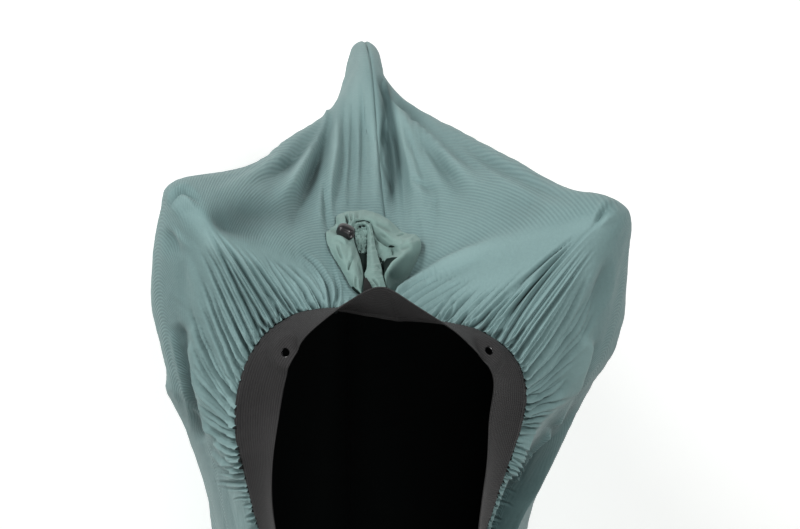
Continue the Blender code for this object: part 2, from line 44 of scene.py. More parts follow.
studio = {
    "clampPixel": (396, 366), "imageSize": (800, 529), "focalPixels": 2940, "distance": 3.0,
    "elevation": 80.0, "fromLeft": 4.2, "sensor": 36.0, "clip": (0.1, 30.0),
    "floorHeight": -0.8915, "floorHalf": 14, "floorColour": (0.92, 0.92, 0.91), "floorGlow": 0.46,
    "worldColour": (1.0, 1.0, 0.99), "worldStrength": 0.04,
    # name, turn to the right from straight ahead and height, in degrees, and power
    "lamps": (("frontLeft", -45, 35, 50), ("frontRight", 60, 62, 46), ("back", 180, 62, 19),
              ("left", -90, 35, 17)),
    "lampDistance": 3.0, "lampSize": 0.9,
}


def lookAxes():
    e, a = radians(studio["elevation"]), radians(studio["fromLeft"])
    back = Vector((-sin(a), -cos(e) * cos(a), sin(e) * cos(a)))
    right = (Vector((1, 0, 0)) - back * back.x).normalized()
    return right, back.cross(right), back


def eyePlace(right, up, back):
    width, height = studio["imageSize"]
    x, y = studio["clampPixel"]
    scale = studio["distance"] / studio["focalPixels"]
    return back * studio["distance"] - right * ((x - width / 2) * scale) - up * ((height / 2 - y) * scale)


def addObject(name, data):
    made = bpy.data.objects.new(name, data)
    bpy.context.scene.collection.objects.link(made)
    return made


def makeCamera():
    axes = lookAxes()
    data = bpy.data.cameras.new("camera")
    data.sensor_width = studio["sensor"]
    data.lens = studio["focalPixels"] * studio["sensor"] / studio["imageSize"][0]
    data.clip_start, data.clip_end = studio["clip"]
    camera = addObject("camera", data)
    camera.matrix_world = Matrix([(*axis, 0) for axis in axes] + [(*eyePlace(*axes), 1)]).transposed()
    bpy.context.scene.camera = camera


def makeLamps():
    for name, turn, height, power in studio["lamps"]:
        t, h = radians(turn), radians(height)
        place = Vector((sin(t) * cos(h), cos(t) * cos(h), sin(h))) * studio["lampDistance"]
        data = bpy.data.lights.new(name, "AREA")
        data.shape = "RECTANGLE"
        data.size = data.size_y = studio["lampSize"]
        data.energy = power
        lamp = addObject(name, data)
        lamp.location = place
        lamp.rotation_euler = (-place).to_track_quat("-Z", "Y").to_euler()


def makeFloor():
    half, low = studio["floorHalf"], studio["floorHeight"]
    corners = [(x * half, y * half, low) for x, y in ((-1, -1), (1, -1), (1, 1), (-1, 1))]
    newPiece("floor", corners, [(0, 1, 2, 3)], [floorFinish()], smooth=False)


def makeWorld():
    world = bpy.data.worlds.new("studio")
    world.use_nodes = True
    light = world.node_tree.nodes["Background"]
    light.inputs[0].default_value = (*studio["worldColour"], 1)
    light.inputs[1].default_value = studio["worldStrength"]
    bpy.context.scene.world = world
    bpy.context.scene.view_settings.view_transform = "Standard"


# material helpers

class Maths:
    # one socket of a node tree, with the sums a shader needs
    def __init__(self, tree, socket):
        self.tree, self.socket = tree, socket

    def sum(self, kind, *others):
        node = self.tree.nodes.new("ShaderNodeMath")
        node.operation = kind
        for slot, item in zip(node.inputs, others):
            if isinstance(item, Maths):
                self.tree.links.new(item.socket, slot)
            else:
                slot.default_value = item
        return Maths(self.tree, node.outputs[0])

    def __add__(self, other):
        return self.sum("ADD", self, other)

    def __radd__(self, other):
        return self.sum("ADD", other, self)

    def __sub__(self, other):
        return self.sum("SUBTRACT", self, other)

    def __rsub__(self, other):
        return self.sum("SUBTRACT", other, self)

    def __mul__(self, other):
        return self.sum("MULTIPLY", self, other)

    def __rmul__(self, other):
        return self.sum("MULTIPLY", other, self)

    def wave(self, pitch=2 * pi):
        # from 0 to 1 and back over each pitch
        return self.sum("SINE", self * (2 * pi / pitch)) * 0.5 + 0.5

    def between(self, low, high):
        raised = self.sum("MAXIMUM", self, low)
        return self.sum("MINIMUM", raised, high)


class Finish:
    # a material built from nodes
    def __init__(self, name):
        self.material = bpy.data.materials.new(name)
        self.material.use_nodes = True
        self.tree = self.material.node_tree
        self.tree.nodes.clear()
        self.shader = self.node("ShaderNodeBsdfPrincipled")
        self.node("ShaderNodeOutputMaterial", None, Surface=self.shader.outputs[0])

    def node(self, kind, settings=None, **values):
        made = self.tree.nodes.new(kind)
        for key, item in (settings or {}).items():
            setattr(made, key, item)
        for key, item in values.items():
            self.put(made.inputs[key.replace("_", " ")], item)
        return made

    def put(self, socket, item):
        if isinstance(item, Maths):
            self.tree.links.new(item.socket, socket)
        elif isinstance(item, bpy.types.NodeSocket):
            self.tree.links.new(item, socket)
        else:
            socket.default_value = item

    def value(self, node, output=0):
        return Maths(self.tree, node.outputs[output])

    def place(self):
        return self.node("ShaderNodeTexCoord").outputs["Object"]

    def onCloth(self):
        # metres along the cloth and across it
        parts = self.node("ShaderNodeSeparateXYZ", None,
                          Vector=self.node("ShaderNodeUVMap", {"uv_map": "cut"}).outputs[0])
        return self.value(parts, 0), self.value(parts, 1)

    def painted(self, name):
        return self.value(self.node("ShaderNodeAttribute", {"attribute_name": name}), "Fac")

    def mixColours(self, factor, first, second):
        mixer = self.node("ShaderNodeMix", {"data_type": "RGBA"})
        for slot, item in ((0, factor), (6, first), (7, second)):
            self.put(mixer.inputs[slot], (*item, 1) if isinstance(item, tuple) else item)
        return mixer.outputs[2]

    def noise(self, vector, scale, detail=3.0, roughness=0.5):
        return self.value(self.node("ShaderNodeTexNoise", None, Vector=vector, Scale=scale, Detail=detail,
                                    Roughness=roughness))

    def bump(self, height, distance, strength=1.0, below=None):
        made = self.node("ShaderNodeBump", None, Strength=strength, Distance=distance, Height=height)
        if below is not None:
            self.put(made.inputs["Normal"], below)
        return made.outputs[0]

    def set(self, **values):
        for key, item in values.items():
            self.put(self.shader.inputs[key.replace("_", " ")], item)
        return self.material


def tint(colour, share):
    return tuple(c * share for c in colour)


knitLook = {
    "colour": (0.248, 0.384, 0.382), "groove": (0.098, 0.178, 0.182), "inside": (0.012, 0.015, 0.015),
    "paintedShade": (0.036, 0.074, 0.076), "paintedHighlight": (0.340, 0.490, 0.480), "tuckShade": 1.2,
    "frontPitch": 0.0027, "sidePitch": 0.0039, "ribHeight": 0.00045, "grainHeight": 0.00055, "sheen": 0.06,
}


def knitFinish():
    f = Finish("knit")
    u, v = f.onCloth()
    turn, show, paintedShading = f.painted("ribTurn"), f.painted("ribShow"), f.painted("paintedShading")
    place = f.place()
    drift = f.noise(place, 12.0, 3.0) * 2.0
    roundFront = (v * (2 * pi / knitLook["frontPitch"]) + drift).wave()
    down = (u * (2 * pi / knitLook["sidePitch"]) + drift).wave()
    rib = (roundFront * (1 - turn) + down * turn) * (show * 0.85 + 0.15)
    patch = f.noise(place, 26.0, 2.0) * 0.8 + 0.5
    grain = f.noise(place, 430.0, 2.0, 0.65)
    shade = f.noise(place, 7.0, 3.0, 0.55)
    fleck = f.noise(place, 210.0, 3.0, 0.65)
    colour = f.mixColours(shade * 0.5 + fleck * 0.4, knitLook["colour"], tint(knitLook["colour"], 0.74))
    # darker as painted shade in the grooves between the ribs, and darker at random with the fine grain
    colour = f.mixColours((1 - rib) * show * patch * 0.42 + (1 - grain) * 0.30, colour, knitLook["groove"])
    # painted shade in the valleys of the folds and where the cloth turns from the light, and a painted
    # highlight on the crests and where it turns towards the light
    colour = f.mixColours((paintedShading * 0.8).between(0, 0.85), colour, knitLook["paintedShade"])
    colour = f.mixColours((paintedShading * -0.8).between(0, 0.5), colour, knitLook["paintedHighlight"])
    ribbed = f.bump(rib * patch, knitLook["ribHeight"], 0.8)
    return f.set(Base_Color=colour, Roughness=0.60 + shade * 0.16, Sheen_Weight=knitLook["sheen"],
                 Specular_IOR_Level=0.28, Sheen_Roughness=0.45,
                 Normal=f.bump(grain, knitLook["grainHeight"], 0.5, ribbed))


# the inner face and the rims of the knit are nearly black, as painted shade inside the cover
def insideFinish():
    f = Finish("knit_inside_shaded")
    grain = f.noise(f.place(), 420.0, 2.0)
    colour = f.mixColours(grain, knitLook["inside"], tint(knitLook["inside"], 1.9))
    return f.set(Base_Color=colour, Roughness=0.85, Specular_IOR_Level=0.2, Normal=f.bump(grain, 0.0002, 0.4))


elasticLook = {
    "colour": (0.004, 0.004, 0.005), "light": (0.062, 0.060, 0.060), "ribPitch": 0.0028, "weftPitch": 0.0024,
    "sheen": 0.05,
}


def elasticFinish():
    f = Finish("elastic")
    u, v = f.onCloth()
    place = f.place()
    ribs = v.wave(elasticLook["ribPitch"])
    weft = (u * (2 * pi / elasticLook["weftPitch"]) + v * (pi / elasticLook["ribPitch"])).wave()
    lint = f.noise(place, 380.0, 3.0, 0.65)
    tone = f.noise(place, 14.0, 2.0)
    colour = f.mixColours(lint * 0.40 + ribs * 0.34 + weft * 0.14 + tone * 0.12, elasticLook["colour"],
                          elasticLook["light"])
    return f.set(Base_Color=colour, Roughness=0.70 + lint * 0.15, Sheen_Weight=elasticLook["sheen"],
                 Specular_IOR_Level=0.35, Normal=f.bump(ribs * 0.7 + weft * 0.5 + lint * 0.5, 0.0008, 0.8))


def metalFinish():
    f = Finish("black_metal")
    rub = f.noise(f.place(), 700.0, 3.0)
    return f.set(Base_Color=f.mixColours(rub, (0.004, 0.004, 0.005), (0.012, 0.012, 0.013)), Metallic=0.2,
                 Roughness=0.14 + rub * 0.16)


def plasticFinish():
    f = Finish("black_plastic")
    grain = f.noise(f.place(), 900.0, 2.0)
    return f.set(Base_Color=f.mixColours(grain, (0.014, 0.014, 0.015), (0.026, 0.026, 0.027)),
                 Roughness=0.24 + grain * 0.12, Normal=f.bump(grain, 0.00008, 0.4))


yarnPitch = 0.0009                                 # of the webbing and of the pouch's cloth


def webbingFinish():
    f = Finish("black_webbing")
    parts = f.node("ShaderNodeSeparateXYZ", None, Vector=f.place())
    x, y = f.value(parts, 0), f.value(parts, 1)
    weave = (x + y).wave(yarnPitch) * (x - y).wave(yarnPitch)
    return f.set(Base_Color=f.mixColours(weave, (0.010, 0.010, 0.010), (0.034, 0.034, 0.034)), Roughness=0.8,
                 Specular_IOR_Level=0.2, Normal=f.bump(weave, 0.0002, 0.6))


pouchLook = {
    "colour": (0.246, 0.374, 0.344), "dark": (0.165, 0.262, 0.240), "paintedShade": (0.014, 0.034, 0.032),
    "sheen": 0.08, "insideShadeShare": 0.10,
}


def pouchFinish(name, share, sheen):
    f = Finish(name)
    u, v = f.onCloth()
    place = f.place()
    weave = u.wave(yarnPitch) * v.wave(yarnPitch)
    shade = f.noise(place, 30.0, 3.0)
    creases = f.noise(place, 95.0, 3.0, 0.6)
    # a share under one darkens the colours, as painted shade for the inside cloth
    light, dark = tint(pouchLook["colour"], share), tint(pouchLook["dark"], share)
    colour = f.mixColours(shade * 0.5 + weave * 0.15, light, dark)
    # painted shade in the creases and on the side of the body turned from the light
    colour = f.mixColours((f.painted("paintedShading") * 0.85).between(0, 0.9), colour, pouchLook["paintedShade"])
    return f.set(Base_Color=colour, Roughness=0.55 + shade * 0.15, Sheen_Weight=sheen,
                 Specular_IOR_Level=sheen * 3, Normal=f.bump(creases * 0.8 + weave * 0.12, 0.0012, 0.45))


def threadFinish():
    f = Finish("thread")
    twist = f.noise(f.place(), 1500.0, 2.0)
    return f.set(Base_Color=f.mixColours(twist, thread["colour"], tint(thread["colour"], 0.6)), Roughness=0.6)


def floorFinish():
    f = Finish("floor")
    tone = f.noise(f.place(), 1.2, 2.0)
    colour = f.mixColours(tone, studio["floorColour"], tint(studio["floorColour"], 0.985))
    return f.set(Base_Color=colour, Roughness=0.9, Emission_Color=(1, 1, 0.985, 1),
                 Emission_Strength=studio["floorGlow"])


# the net that the cloth hangs on

cover = {
    "endRadius": 0.343, "edgeRadius": 0.0145, "endHeight": -0.545, "frontEnd": 0.124, "rearEnd": -0.860,
    "corner": -50.0,                       # angle round the end, where the front seam meets the bottom seam
    "clear": 0.002,                        # from the end's circle to the seam
    "bottom": ((0, 0.3, 0.667, 1), (0, 0.16, 0.40, 1)),   # s along the opening, and share of the bottom seam
    "cols": 49, "rows": 25, "tension": 1.0, "bending": 2.0, "hold": 120.0, "rounds": 1500, "small": 1e-14,
    "thickness": 0.0014, "seamGap": 0.000002, "sag": 0.03,
}

# opening from its front point to its rear point: sewn edge x, y, z, then free edge x, y of the elastic
openingRight = [
    (0.000, 0.043, 0.035, -0.012, 0.069), (0.026, 0.042, 0.034, 0.008, 0.054),
    (0.053, 0.039, 0.033, 0.034, 0.037), (0.078, 0.034, 0.031, 0.055, 0.024),
    (0.100, 0.023, 0.027, 0.073, 0.008), (0.118, 0.008, 0.022, 0.089, -0.008),
    (0.130, -0.012, 0.010, 0.096, -0.023), (0.134, -0.034, -0.006, 0.095, -0.040),
    (0.131, -0.058, -0.021, 0.093, -0.059), (0.124, -0.082, -0.036, 0.093, -0.081),
    (0.115, -0.109, -0.054, 0.092, -0.106), (0.107, -0.135, -0.075, 0.089, -0.132),
    (0.099, -0.165, -0.097, 0.087, -0.163), (0.090, -0.225, -0.124, 0.082, -0.224),
    (0.083, -0.310, -0.146, 0.077, -0.310), (0.079, -0.410, -0.158, 0.073, -0.410),
    (0.077, -0.510, -0.160, 0.070, -0.509), (0.071, -0.615, -0.151, 0.060, -0.606),
    (0.043, -0.704, -0.135, 0.031, -0.684), (0.000, -0.726, -0.125, 0.000, -0.700),
]
openingLeft = [
    (0.000, 0.043, 0.035, -0.012, 0.069), (-0.026, 0.047, 0.036, -0.027, 0.068),
    (-0.052, 0.052, 0.037, -0.043, 0.059), (-0.079, 0.053, 0.038, -0.060, 0.048),
    (-0.107, 0.047, 0.036, -0.079, 0.034), (-0.134, 0.029, 0.029, -0.099, 0.017),
    (-0.153, 0.001, 0.018, -0.111, -0.006), (-0.163, -0.036, -0.006, -0.117, -0.034),
    (-0.163, -0.067, -0.026, -0.121, -0.060), (-0.158, -0.091, -0.040, -0.125, -0.083),
    (-0.151, -0.117, -0.060, -0.127, -0.109), (-0.143, -0.145, -0.084, -0.126, -0.138),
    (-0.134, -0.173, -0.102, -0.121, -0.170), (-0.117, -0.230, -0.126, -0.108, -0.228),
    (-0.098, -0.312, -0.147, -0.091, -0.311), (-0.086, -0.410, -0.158, -0.080, -0.410),
    (-0.080, -0.510, -0.160, -0.073, -0.509), (-0.072, -0.615, -0.151, -0.061, -0.606),
    (-0.043, -0.704, -0.135, -0.031, -0.684), (0.000, -0.726, -0.125, 0.000, -0.700),
]

# places the cloth passes over: side (0 both), s along the opening, t from edge to seam, |x|, y, z
supports = [
    (1, 0.235, 0.25, 0.218, 0.152, 0.048), (1, 0.222, 0.29, 0.206, 0.175, 0.016),
    (1, 0.252, 0.29, 0.238, 0.163, 0.010), (1, 0.265, 0.29, 0.243, 0.153, 0.012),
    (1, 0.205, 0.225, 0.172, 0.145, 0.034), (-1, 0.235, 0.25, 0.198, 0.150, 0.052),
    (-1, 0.228, 0.29, 0.214, 0.187, 0.010), (-1, 0.246, 0.31, 0.231, 0.186, -0.005),
    (-1, 0.272, 0.31, 0.236, 0.160, -0.005), (-1, 0.205, 0.220, 0.162, 0.140, 0.036),
    (0, 0.300, 0.33, 0.246, 0.125, -0.035), (0, 0.325, 0.38, 0.248, 0.085, -0.095),
    (1, 0.370, 0.39, 0.240, 0.035, -0.120), (-1, 0.370, 0.39, 0.237, 0.035, -0.120),
    (1, 0.440, 0.39, 0.218, -0.009, -0.130), (-1, 0.440, 0.40, 0.233, -0.008, -0.135),
    (1, 0.480, 0.38, 0.193, -0.050, -0.120), (-1, 0.490, 0.33, 0.198, -0.050, -0.110),
    (1, 0.520, 0.43, 0.174, -0.102, -0.230), (1, 0.555, 0.44, 0.151, -0.148, -0.270),
    (-1, 0.515, 0.50, 0.191, -0.093, -0.300), (-1, 0.545, 0.51, 0.177, -0.137, -0.340),
    (1, 0.480, 0.52, 0.195, -0.045, -0.300), (-1, 0.480, 0.52, 0.205, -0.045, -0.300),
    (0, 0.520, 0.66, 0.180, -0.110, -0.500), (1, 0.600, 0.78, 0.166, -0.260, -0.600),
    (1, 0.660, 0.78, 0.166, -0.360, -0.600), (-1, 0.600, 0.76, 0.160, -0.260, -0.590),
    (-1, 0.720, 0.78, 0.166, -0.570, -0.650), (-1, 0.770, 0.78, 0.160, -0.650, -0.640),
    (0, 0.900, 0.62, 0.080, -0.860, -0.550),
]

# taut lines down the cloth: side, then rows of s, t, |x|, y, z
ridges = [
    (1, [(0.222, 0.290, 0.206, 0.175, 0.016), (0.198, 0.325, 0.177, 0.194, -0.035),
         (0.173, 0.360, 0.148, 0.232, -0.110), (0.120, 0.420, 0.106, 0.284, -0.215),
         (0.070, 0.480, 0.058, 0.333, -0.300), (0.046, 0.530, 0.031, 0.366, -0.350),
         (0.028, 0.570, 0.016, 0.401, -0.395)]),
    (-1, [(0.228, 0.290, 0.214, 0.187, 0.010), (0.185, 0.350, 0.142, 0.234, -0.125),
          (0.120, 0.425, 0.100, 0.285, -0.225), (0.075, 0.510, 0.053, 0.338, -0.325),
          (0.056, 0.555, 0.034, 0.374, -0.385), (0.038, 0.585, 0.024, 0.406, -0.415)]),
    (1, [(0.000, 0.020, 0.000, 0.056, 0.018), (0.000, 0.250, 0.000, 0.203, -0.154),
         (0.000, 0.480, 0.000, 0.349, -0.305)]),
]


def throughPoints(a, b, c, d, t):
    # smooth curve from b to c
    square, cube = 2 * a - 5 * b + 4 * c - d, 3 * b - a - 3 * c + d
    return 0.5 * (2 * b + (c - a) * t + square * t ** 2 + cube * t ** 3)


def catmull(rows, u):
    p = np.asarray(rows, float)
    u = np.clip(np.asarray(u, float), 0, len(p) - 1)
    k = np.minimum(u.astype(int), len(p) - 2)
    q = np.concatenate([2 * p[:1] - p[1:2], p, 2 * p[-1:] - p[-2:-1]])
    return throughPoints(q[k], q[k + 1], q[k + 2], q[k + 3], (u - k)[..., None])


def shareAlong(rows):
    d = np.concatenate([[0], np.cumsum(np.linalg.norm(np.diff(np.array(rows), axis=0), axis=1))])
    return d / d[-1]


def endPoint(centre, angle):
    r = cover["endRadius"] + cover["clear"]
    return np.array([0, centre + r * cos(radians(angle)), cover["endHeight"] + r * sin(radians(angle))])


def endSeam(apex, centre, sign):
    # straight from the opening to where it touches the end's circle, then round it
    dy, dz = apex[1] - centre, apex[2] - cover["endHeight"]
    lean = acos((cover["endRadius"] + cover["clear"]) / hypot(dy, dz))
    touch = degrees(atan2(dz, dy) - sign * lean)
    last = cover["corner"] if sign > 0 else 180 - cover["corner"]
    start = endPoint(centre, touch)
    free = [apex * (1 - f) + start * f for f in np.linspace(0, 1, 9)[:-1]]
    return free + [endPoint(centre, a) for a in np.linspace(touch, last, 11)], len(free)


def bottomSeam():
    front, rear, corner = cover["frontEnd"], cover["rearEnd"], cover["corner"]
    lowFront, lowRear = endPoint(front, -90), endPoint(rear, -90)
    rows = [endPoint(front, a) for a in np.linspace(corner, -90, 5)]
    for f in np.linspace(0.1, 0.9, 9):
        rows.append(lowFront * (1 - f) + lowRear * f + np.array([0, 0, cover["sag"] * sin(pi * f)]))
    return rows + [endPoint(rear, a) for a in np.linspace(-90, -180 - corner, 5)]


def netNumbers():
    cols, rows = cover["cols"], cover["rows"]
    ids = np.arange(2 * cols * rows).reshape(2, cols, rows)
    ids[1, 0], ids[1, -1], ids[1, :, -1] = ids[0, 0], ids[0, -1], ids[0, :, -1]
    used, flat = np.unique(ids, return_inverse=True)
    return flat.reshape(ids.shape), len(used)


def fixedKnots(ids):
    s = np.linspace(0, 1, cover["cols"])
    fixed = {}
    for k, rows in enumerate((openingLeft, openingRight)):
        fixed.update(zip(ids[k, :, 0], catmull([r[:3] for r in rows], s * (len(rows) - 1))))
    ends = ((cover["frontEnd"], openingRight[0], 1, 0), (cover["rearEnd"], openingRight[-1], -1, -1))
    for centre, row, sign, col in ends:
        rows, free = endSeam(np.array(row[:3]), centre, sign)
        u = np.interp(np.linspace(0, 1, cover["rows"]), shareAlong(rows), np.arange(len(rows)))
        for j, p in enumerate(catmull(rows, u)):
            if u[j] > free - 0.01:
                fixed[ids[0, col, j]] = p
    rows = bottomSeam()
    u = np.interp(np.interp(s, *cover["bottom"]), shareAlong(rows), np.arange(len(rows)))
    fixed.update(zip(ids[0, :, -1], catmull(rows, u)))
    return fixed


def heldPlaces():
    held = []
    for k, side in enumerate((-1, 1)):
        for which, a, t, x, y, z in supports:
            if which in (0, side):
                held.append((k, a, t, (side * x, y, z)))
        for which, rows in ridges:
            if which == side:
                for a, t, x, y, z in catmull(rows, np.arange(0, len(rows) - 0.99, 0.25)):
                    held.append((k, a, t, (side * x, y, z)))
    return held


def stretchedNet():
    cols, rows = cover["cols"], cover["rows"]
    ids, count = netNumbers()
    fixed = fixedKnots(ids)
    near = [set() for _ in range(count)]
    for k in range(2):
        for a, b in ((ids[k, :-1], ids[k, 1:]), (ids[k, :, :-1], ids[k, :, 1:])):
            for u, v in zip(a.ravel(), b.ravel()):
                near[u].add(v)
                near[v].add(u)
    most = max(len(q) for q in near)
    near = np.array([sorted(q) + [count] * (most - len(q)) for q in near])
    degree = (near < count).sum(1)[:, None]
    spots, shares, goals = [], [], []
    for k, a, t, p in heldPlaces():
        u, v = a * (cols - 1), t * (rows - 1)
        i, j = min(int(u), cols - 2), min(int(v), rows - 2)
        fu, fv = u - i, v - j
        spots.append([ids[k, i, j], ids[k, i + 1, j], ids[k, i, j + 1], ids[k, i + 1, j + 1]])
        shares.append([(1 - fu) * (1 - fv), fu * (1 - fv), (1 - fu) * fv, fu * fv])
        goals.append(p)
    spots, shares, goals = np.array(spots), np.array(shares)[..., None], np.array(goals)

    def uneven(x):
        return degree * x - np.concatenate([x, np.zeros((1, 3))])[near].sum(1)

    def strain(x, goal):
        first = uneven(x)
        pull = cover["tension"] * first + cover["bending"] * uneven(first)
        off = (shares * x[spots]).sum(1) - goal
        np.add.at(pull, spots, cover["hold"] * shares * off[:, None])
        return pull

    knots = np.zeros((count, 3))
    knots[list(fixed)] = list(fixed.values())
    loose = np.ones((count, 1))
    loose[list(fixed)] = 0
    rest = -strain(knots, goals) * loose
    step, size = rest.copy(), (rest * rest).sum(0)
    for _ in range(cover["rounds"]):
        bent = strain(step, 0 * goals) * loose
        share = size / ((step * bent).sum(0) + 1e-30)
        knots += share * step
        rest -= share * bent
        new = (rest * rest).sum(0)
        step = rest + new / (size + 1e-30) * step
        size = new
        if size.max() < cover["small"]:
            break
    return knots[ids]


def readNet(net, k, s, t):
    cols, rows = cover["cols"], cover["rows"]
    g, o = net[k], net[1 - k]
    p = np.zeros((cols + 2, rows + 2, 3))
    p[1:-1, 1:-1] = g
    p[0, 1:-1], p[-1, 1:-1], p[1:-1, -1] = o[1], o[-2], o[:, -2]
    p[1:-1, 0] = 2 * g[:, 0] - g[:, 1]
    p[0, 0], p[-1, 0] = 2 * p[0, 1] - p[0, 2], 2 * p[-1, 1] - p[-1, 2]
    p[0, -1], p[-1, -1] = o[1, -2], o[-2, -2]

    def weights(x, n):
        u = np.clip(x, 0, 1) * (n - 1)
        i = np.minimum(u.astype(int), n - 2)
        f = u - i
        return i, 0.5 * np.stack([-f + 2 * f ** 2 - f ** 3, 2 - 5 * f ** 2 + 3 * f ** 3,
                                  f + 4 * f ** 2 - 3 * f ** 3, -f ** 2 + f ** 3], -1)
    i, wi = weights(s, cols)
    j, wj = weights(t, rows)
    out = np.zeros(s.shape + (3,))
    for a in range(4):
        for b in range(4):
            out += (wi[..., a] * wj[..., b])[..., None] * p[i + a, j + b]
    return out


def roundEnds(p, side):
    edge = cover["edgeRadius"]
    ring = cover["endRadius"] + cover["clear"] - edge
    for centre in (cover["frontEnd"], cover["rearEnd"]):
        dy, dz = p[..., 1] - centre, p[..., 2] - cover["endHeight"]
        rho = np.hypot(dy, dz) + 1e-9
        k = rho - ring
        dist = np.hypot(k, p[..., 0]) + 1e-9
        grow = np.where((k > 0) & (dist < edge), edge / dist, 1)
        new = ring + k * grow
        p[..., 0] *= grow
        p[..., 1] = np.where(k > 0, centre + dy * new / rho, p[..., 1])
        p[..., 2] = np.where(k > 0, cover["endHeight"] + dz * new / rho, p[..., 2])
        near = (k <= 0) & (k > -0.25) & (np.abs(p[..., 0]) < edge)
        p[..., 0] = np.where(near, side * edge, p[..., 0])
    return p


def gridNormals(p, side):
    n = np.cross(np.gradient(p, axis=0), np.gradient(p, axis=1)) * side
    return n / (np.linalg.norm(n, axis=-1, keepdims=True) + 1e-12)


def smoothStep(x):
    x = np.clip(x, 0, 1)
    return x * x * (3 - 2 * x)


def fadeIn(x, start, length):
    return smoothStep((x - start) / length)


# folds of the knit

# Folds are drawn as they show in the view: three points x, y along each fold, its height in
# millimetres, negative for a valley, and how wide it is to the left and to the right of its run
gatherRight = [
    (394, 302, 416, 284, 456, 268, -2.2, 1.5, 1.8), (402, 308, 430, 290, 470, 268, -1.6, 1.4, 1.4),
    (411, 312, 440, 294, 478, 273, -2.2, 1.6, 1.6), (422, 316, 446, 297, 486, 272, -1.6, 1.4, 1.6),
    (396, 294, 438, 268, 500, 242, 2.6, 4.6, 6.5), (433, 320, 447, 300, 462, 286, -1.8, 1.8, 1.8),
    (446, 322, 462, 303, 484, 284, -2.4, 2.0, 1.6), (458, 325, 478, 303, 506, 279, -1.6, 1.6, 1.6),
    (466, 326, 492, 299, 530, 262, -1.8, 1.5, 1.8), (474, 327, 518, 283, 592, 225, -2.6, 1.7, 1.7),
    (482, 330, 513, 292, 586, 229, -2.2, 1.5, 1.9), (489, 335, 528, 291, 578, 242, -1.8, 1.4, 1.4),
    (495, 340, 547, 268, 600, 221, -3.2, 1.8, 2.2), (502, 345, 537, 290, 603, 219, -3.0, 1.8, 1.6),
    (508, 351, 545, 300, 588, 245, -2.0, 1.5, 1.5), (516, 358, 543, 319, 596, 246, -3.4, 2.0, 1.6),
    (521, 366, 549, 327, 584, 268, -2.2, 1.6, 1.6), (525, 375, 557, 333, 590, 264, -3.4, 1.8, 2.2),
    (527, 384, 556, 354, 604, 272, -3.8, 2.0, 1.8), (527, 391, 557, 368, 601, 300, -2.4, 1.8, 1.8),
    (527, 398, 552, 380, 574, 357, -2.6, 1.8, 1.6), (526, 405, 551, 398, 569, 368, -2.8, 1.9, 1.9),
    (525, 412, 549, 404, 569, 392, -2.4, 1.8, 1.8), (523, 420, 543, 417, 560, 408, -2.2, 1.6, 1.8),
    (520, 429, 540, 428, 551, 424, -2.4, 1.8, 1.6),
]
gatherLeft = [
    (330, 310, 329, 291, 293, 250, -2.6, 1.8, 2.4), (322, 309, 313, 290, 283, 263, -2.4, 1.6, 2.0),
    (313, 310, 301, 287, 268, 258, -2.4, 1.8, 1.6), (302, 313, 283, 285, 262, 252, -1.8, 1.5, 1.5),
    (292, 316, 273, 288, 242, 246, -3.0, 1.9, 1.7), (283, 320, 262, 286, 232, 240, -2.2, 1.6, 1.6),
    (275, 325, 249, 281, 212, 224, -3.4, 1.8, 2.2), (268, 330, 241, 283, 210, 231, -2.2, 1.4, 1.5),
    (261, 338, 239, 291, 203, 219, -3.6, 1.9, 1.9), (255, 347, 232, 298, 204, 240, -2.4, 1.5, 1.6),
    (250, 356, 232, 318, 200, 246, -3.2, 1.9, 1.7), (246, 366, 231, 338, 209, 282, -2.6, 1.6, 1.8),
    (242, 377, 225, 338, 198, 270, -3.4, 2.0, 1.8), (239, 390, 219, 346, 198, 294, -2.2, 1.6, 1.6),
    (237, 402, 213, 368, 190, 299, -3.4, 2.0, 2.2), (236, 412, 212, 384, 192, 330, -2.0, 1.6, 1.6),
    (236, 422, 209, 394, 183, 344, -3.6, 2.2, 1.8), (236, 432, 215, 416, 196, 392, -2.4, 1.8, 1.6),
    (238, 443, 220, 433, 199, 400, -3.2, 1.9, 1.7), (240, 452, 225, 446, 213, 434, -2.4, 1.7, 1.7),
    (243, 463, 230, 462, 221, 455, -2.6, 1.9, 1.7), (246, 475, 233, 474, 222, 468, -2.2, 1.8, 1.6),
]
